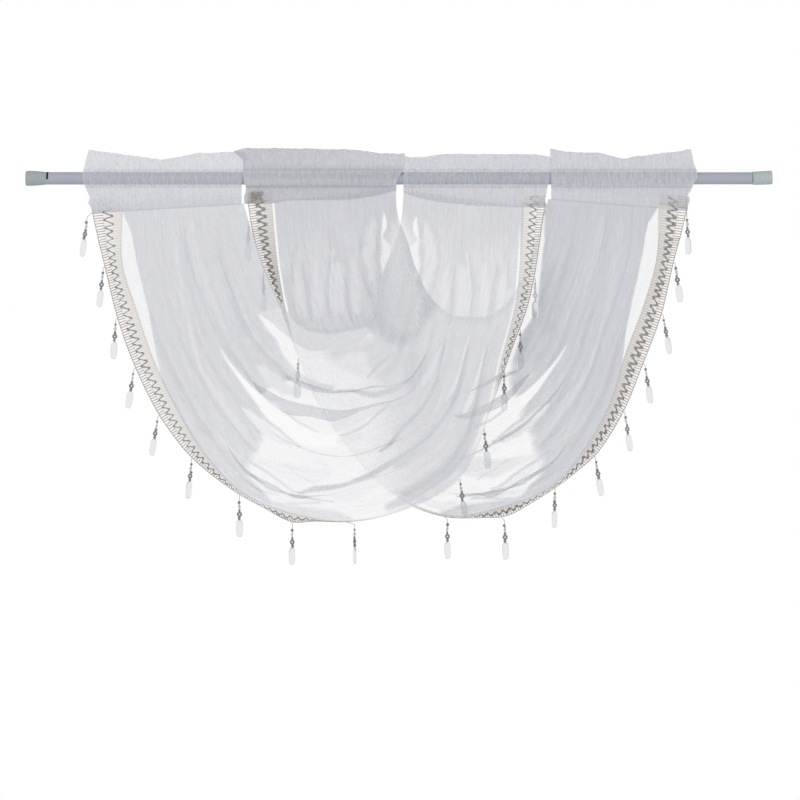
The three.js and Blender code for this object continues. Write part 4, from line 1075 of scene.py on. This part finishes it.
# Three headings take the lighter copy of the voile, whose brighter colour is painted light.
headings = [
    {"name": "valance_1_heading_left", "ends": (90, 347.4), "voile": litHeadingVoile,
     "layers": [(45, 1.9), (14, 1.9), (9, 2.2), (-9, 2.2), (-14, 2.0), (-24, 2.7), (-50, 2.75)],
     "leftEnd": [(44, 10.3), (18, 3.1), (3, 0.5), (-9, 3.1), (-26, 10.3), (-29, 13), (-39, 9.5), (-50, 15.6)],
     "rightEnd": [(45, -4), (14, -4), (4, 0), (-10, 2.2), (-45, 2.2)],
     "seam": [(106, -53), (152, -50), (348, -39)],
     "crest": [(0, 45), (0.13, 41), (0.34, 34), (0.49, 29.5), (0.7, 40), (1, 42)]},
    {"name": "valance_2_heading_left", "ends": (348.8, 596), "voile": headingVoile, "sides": (1.2, 0.86),
     "layers": [(48, 2.9), (22, 2.9), (19, 4.0), (15, 6.5), (10, 6.5), (6, 4.4), (0, 4.4), (-4, 6.5), (-11, 6.5),
                (-14, 3.6), (-45, 3.4)],
     "leftEnd": [(44, -16.5), (40, -14), (34, -6), (29, -1.3), (12.5, -1), (0, -0.5), (-8, 1), (-13, 3.4), (-23, 3),
                 (-29, 0), (-42, 1)],
     "rightEnd": [(40, -10.7), (24, -10), (12, -8.5), (4, -2), (0, 0.5), (-10, 3.4), (-36, 1.5)],
     "seam": [(348, -38.5), (394, -37.5), (420, -32.5), (520, -31), (560, -25), (592, -17)],
     "crest": [(0, 43), (0.07, 48), (0.35, 47.5), (0.73, 45), (0.86, 39.5), (1, 39)]},
    {"name": "valance_1_heading_right", "ends": (604.5, 838.4), "voile": litHeadingVoile,
     "layers": [(40, 2.7), (13, 2.7), (9, 1.9), (-9, 1.9), (-13, 3.0), (-45, 3.5)],
     "leftEnd": [(40, 1.6), (0, 0), (-30, -0.5)],
     "rightEnd": [(38, 2), (33, -1.5), (10, -1), (0, 1), (-10, 2.9), (-23, 5), (-34, 8), (-44, 5)],
     "seam": [(605, -20), (630, -29), (665, -35.5), (700, -39), (730, -41.5), (794, -43.5), (838, -43.5)],
     "crest": [(0, 34), (0.13, 33.5), (0.27, 38.5), (0.9, 38), (1, 34)]},
    {"name": "valance_2_heading_right", "ends": (840.2, 1072), "voile": litHeadingVoile,
     "layers": [(47, 3.0), (16, 3.2), (13, 5), (9, 3), (-2, 3.5), (-9, 4.5), (-13, 4.2), (-24, 6.6), (-45, 6.4)],
     "leftEnd": [(47, -1.4), (0, 0), (-14, 0.6), (-40, 0.6)],
     "rightEnd": [(46, 7.7), (23, 3), (12.5, -1.6), (0, -1.6), (-9, 3.7), (-22, 9), (-25, 13), (-35, 9), (-45, 13)],
     "seam": [(840, -31), (1013, -43.5), (1058, -49)],
     "crest": [(0, 47), (0.17, 40.5), (0.33, 41), (0.42, 36), (0.52, 31), (0.6, 34.5), (0.82, 40.5), (1, 46)]},
]


def makeHeading(setup):
    sizes = headingSizes
    left, right = setup["ends"]
    share = np.linspace(0, 1, int((right - left) / sizes["columns"]))
    x = left + (right - left) * share
    count, spread = sizes["crestSpread"]
    uneven = np.interp(share, np.linspace(0, 1, count), draws.normal(0, spread, count))
    top = follow(setup["crest"], share, 1) + uneven
    seam = readTable(setup["seam"], x) - sizes["seamLap"]
    # one side from the seam up over the rod to the frill's top: height, and depth from the rod's axis
    pocket = sizes["pocketTop"]
    thin, turned, taper = sizes["seamDepth"]
    arc = np.radians(np.linspace(-sizes["pocketArc"], sizes["pocketArc"], sizes["pocketRows"]))
    side = [(seam + (-pocket - seam) * s, thin + turned * min(1, s / sizes["seamTurn"]) - taper * s)
            for s in np.linspace(0, 1, sizes["seamRows"])]
    side += [(sizes["pocketRise"] * math.sin(a) + 0 * x, sizes["pocketDepth"] * math.cos(a) ** sizes["pocketRound"])
             for a in arc]
    side += [(pocket + (top - pocket) * s, sizes["frillDepth"] - sizes["frillTaper"] * s)
             for s in np.linspace(0, 1, sizes["frillRows"])]
    side += [(top + sizes["crestRise"], sizes["crestDepth"])]
    heights = np.stack([row[0] for row in side])
    depths = np.array([row[1] for row in side])[:, None] + 0 * x
    rise = np.clip((heights - pocket) / np.maximum(top - pocket, 1), 0, 1)
    wave = sizes["frillWave"] * np.sin(2 * math.pi * x / sizes["waveLength"]) * rise
    amount = sizes["pocketGather"] + (sizes["frillGather"] - sizes["pocketGather"]) * rise
    amount = amount * smoothStep(top - heights, *sizes["calmCrest"]) * smoothStep(heights - seam, *sizes["calmSeam"])

    def gathers():
        total = 0 * x
        count, spread = sizes["gatherBend"]
        for length in sizes["gathers"]:
            bend = np.interp(x, np.linspace(left, right, count), draws.normal(0, spread, count))
            angle = 2 * math.pi * (x / length + draws.random()) + bend
            total = total + math.sqrt(length / sizes["gatherMean"]) * np.sin(angle)
        return np.abs(total / 2)

    z = np.vstack([heights, heights[::-1]])
    y = np.vstack([wave - depths - gathers() * amount, (wave + depths + gathers() * amount)[::-1]])
    leftX = left + readTable(setup["leftEnd"], z)
    rightX = right - readTable(setup["rightEnd"], z)
    points = np.stack([leftX + (rightX - leftX) * share, y, z], axis=-1)
    band = 1 - smoothStep(z - seam, sizes["seamBand"] - sizes["bandSoft"], sizes["seamBand"] + sizes["bandSoft"])
    layers = readTable(setup["layers"], z) * (1 + (sizes["bandShare"] - 1) * band)
    layers = layers * np.interp(share, (0, 1), setup.get("sides", (1, 1)))  # thicker towards one end
    length = np.vstack([0 * x, np.cumsum(np.linalg.norm(np.diff(points, axis=0), axis=-1), axis=0)])
    uv = np.stack([length, points[..., 0]], axis=-1) * mm
    faces = gridFaces(*z.shape)
    piece = meshPiece(setup["name"] + "_gathered", [{
        "points": points.reshape(-1, 3), "faces": faces, "uv": uv.reshape(-1, 2), "layers": layers.ravel()}],
        [setup["voile"]])
    keep(piece, "voile", setup["name"])
    print(piece.name, "area", round(surfaceArea(points, faces), 4), "m2")
    return piece


for setup in headings:
    heading = makeHeading(setup)
for valance in (frontValance, rearValance):
    cloth, hemAt = makeCloth(valance)
    strip = braidStrip(valance, hemAt)
    trim = makeBraid(valance, strip)
    pendants = makePendants(valance, strip)
print("valances ready")
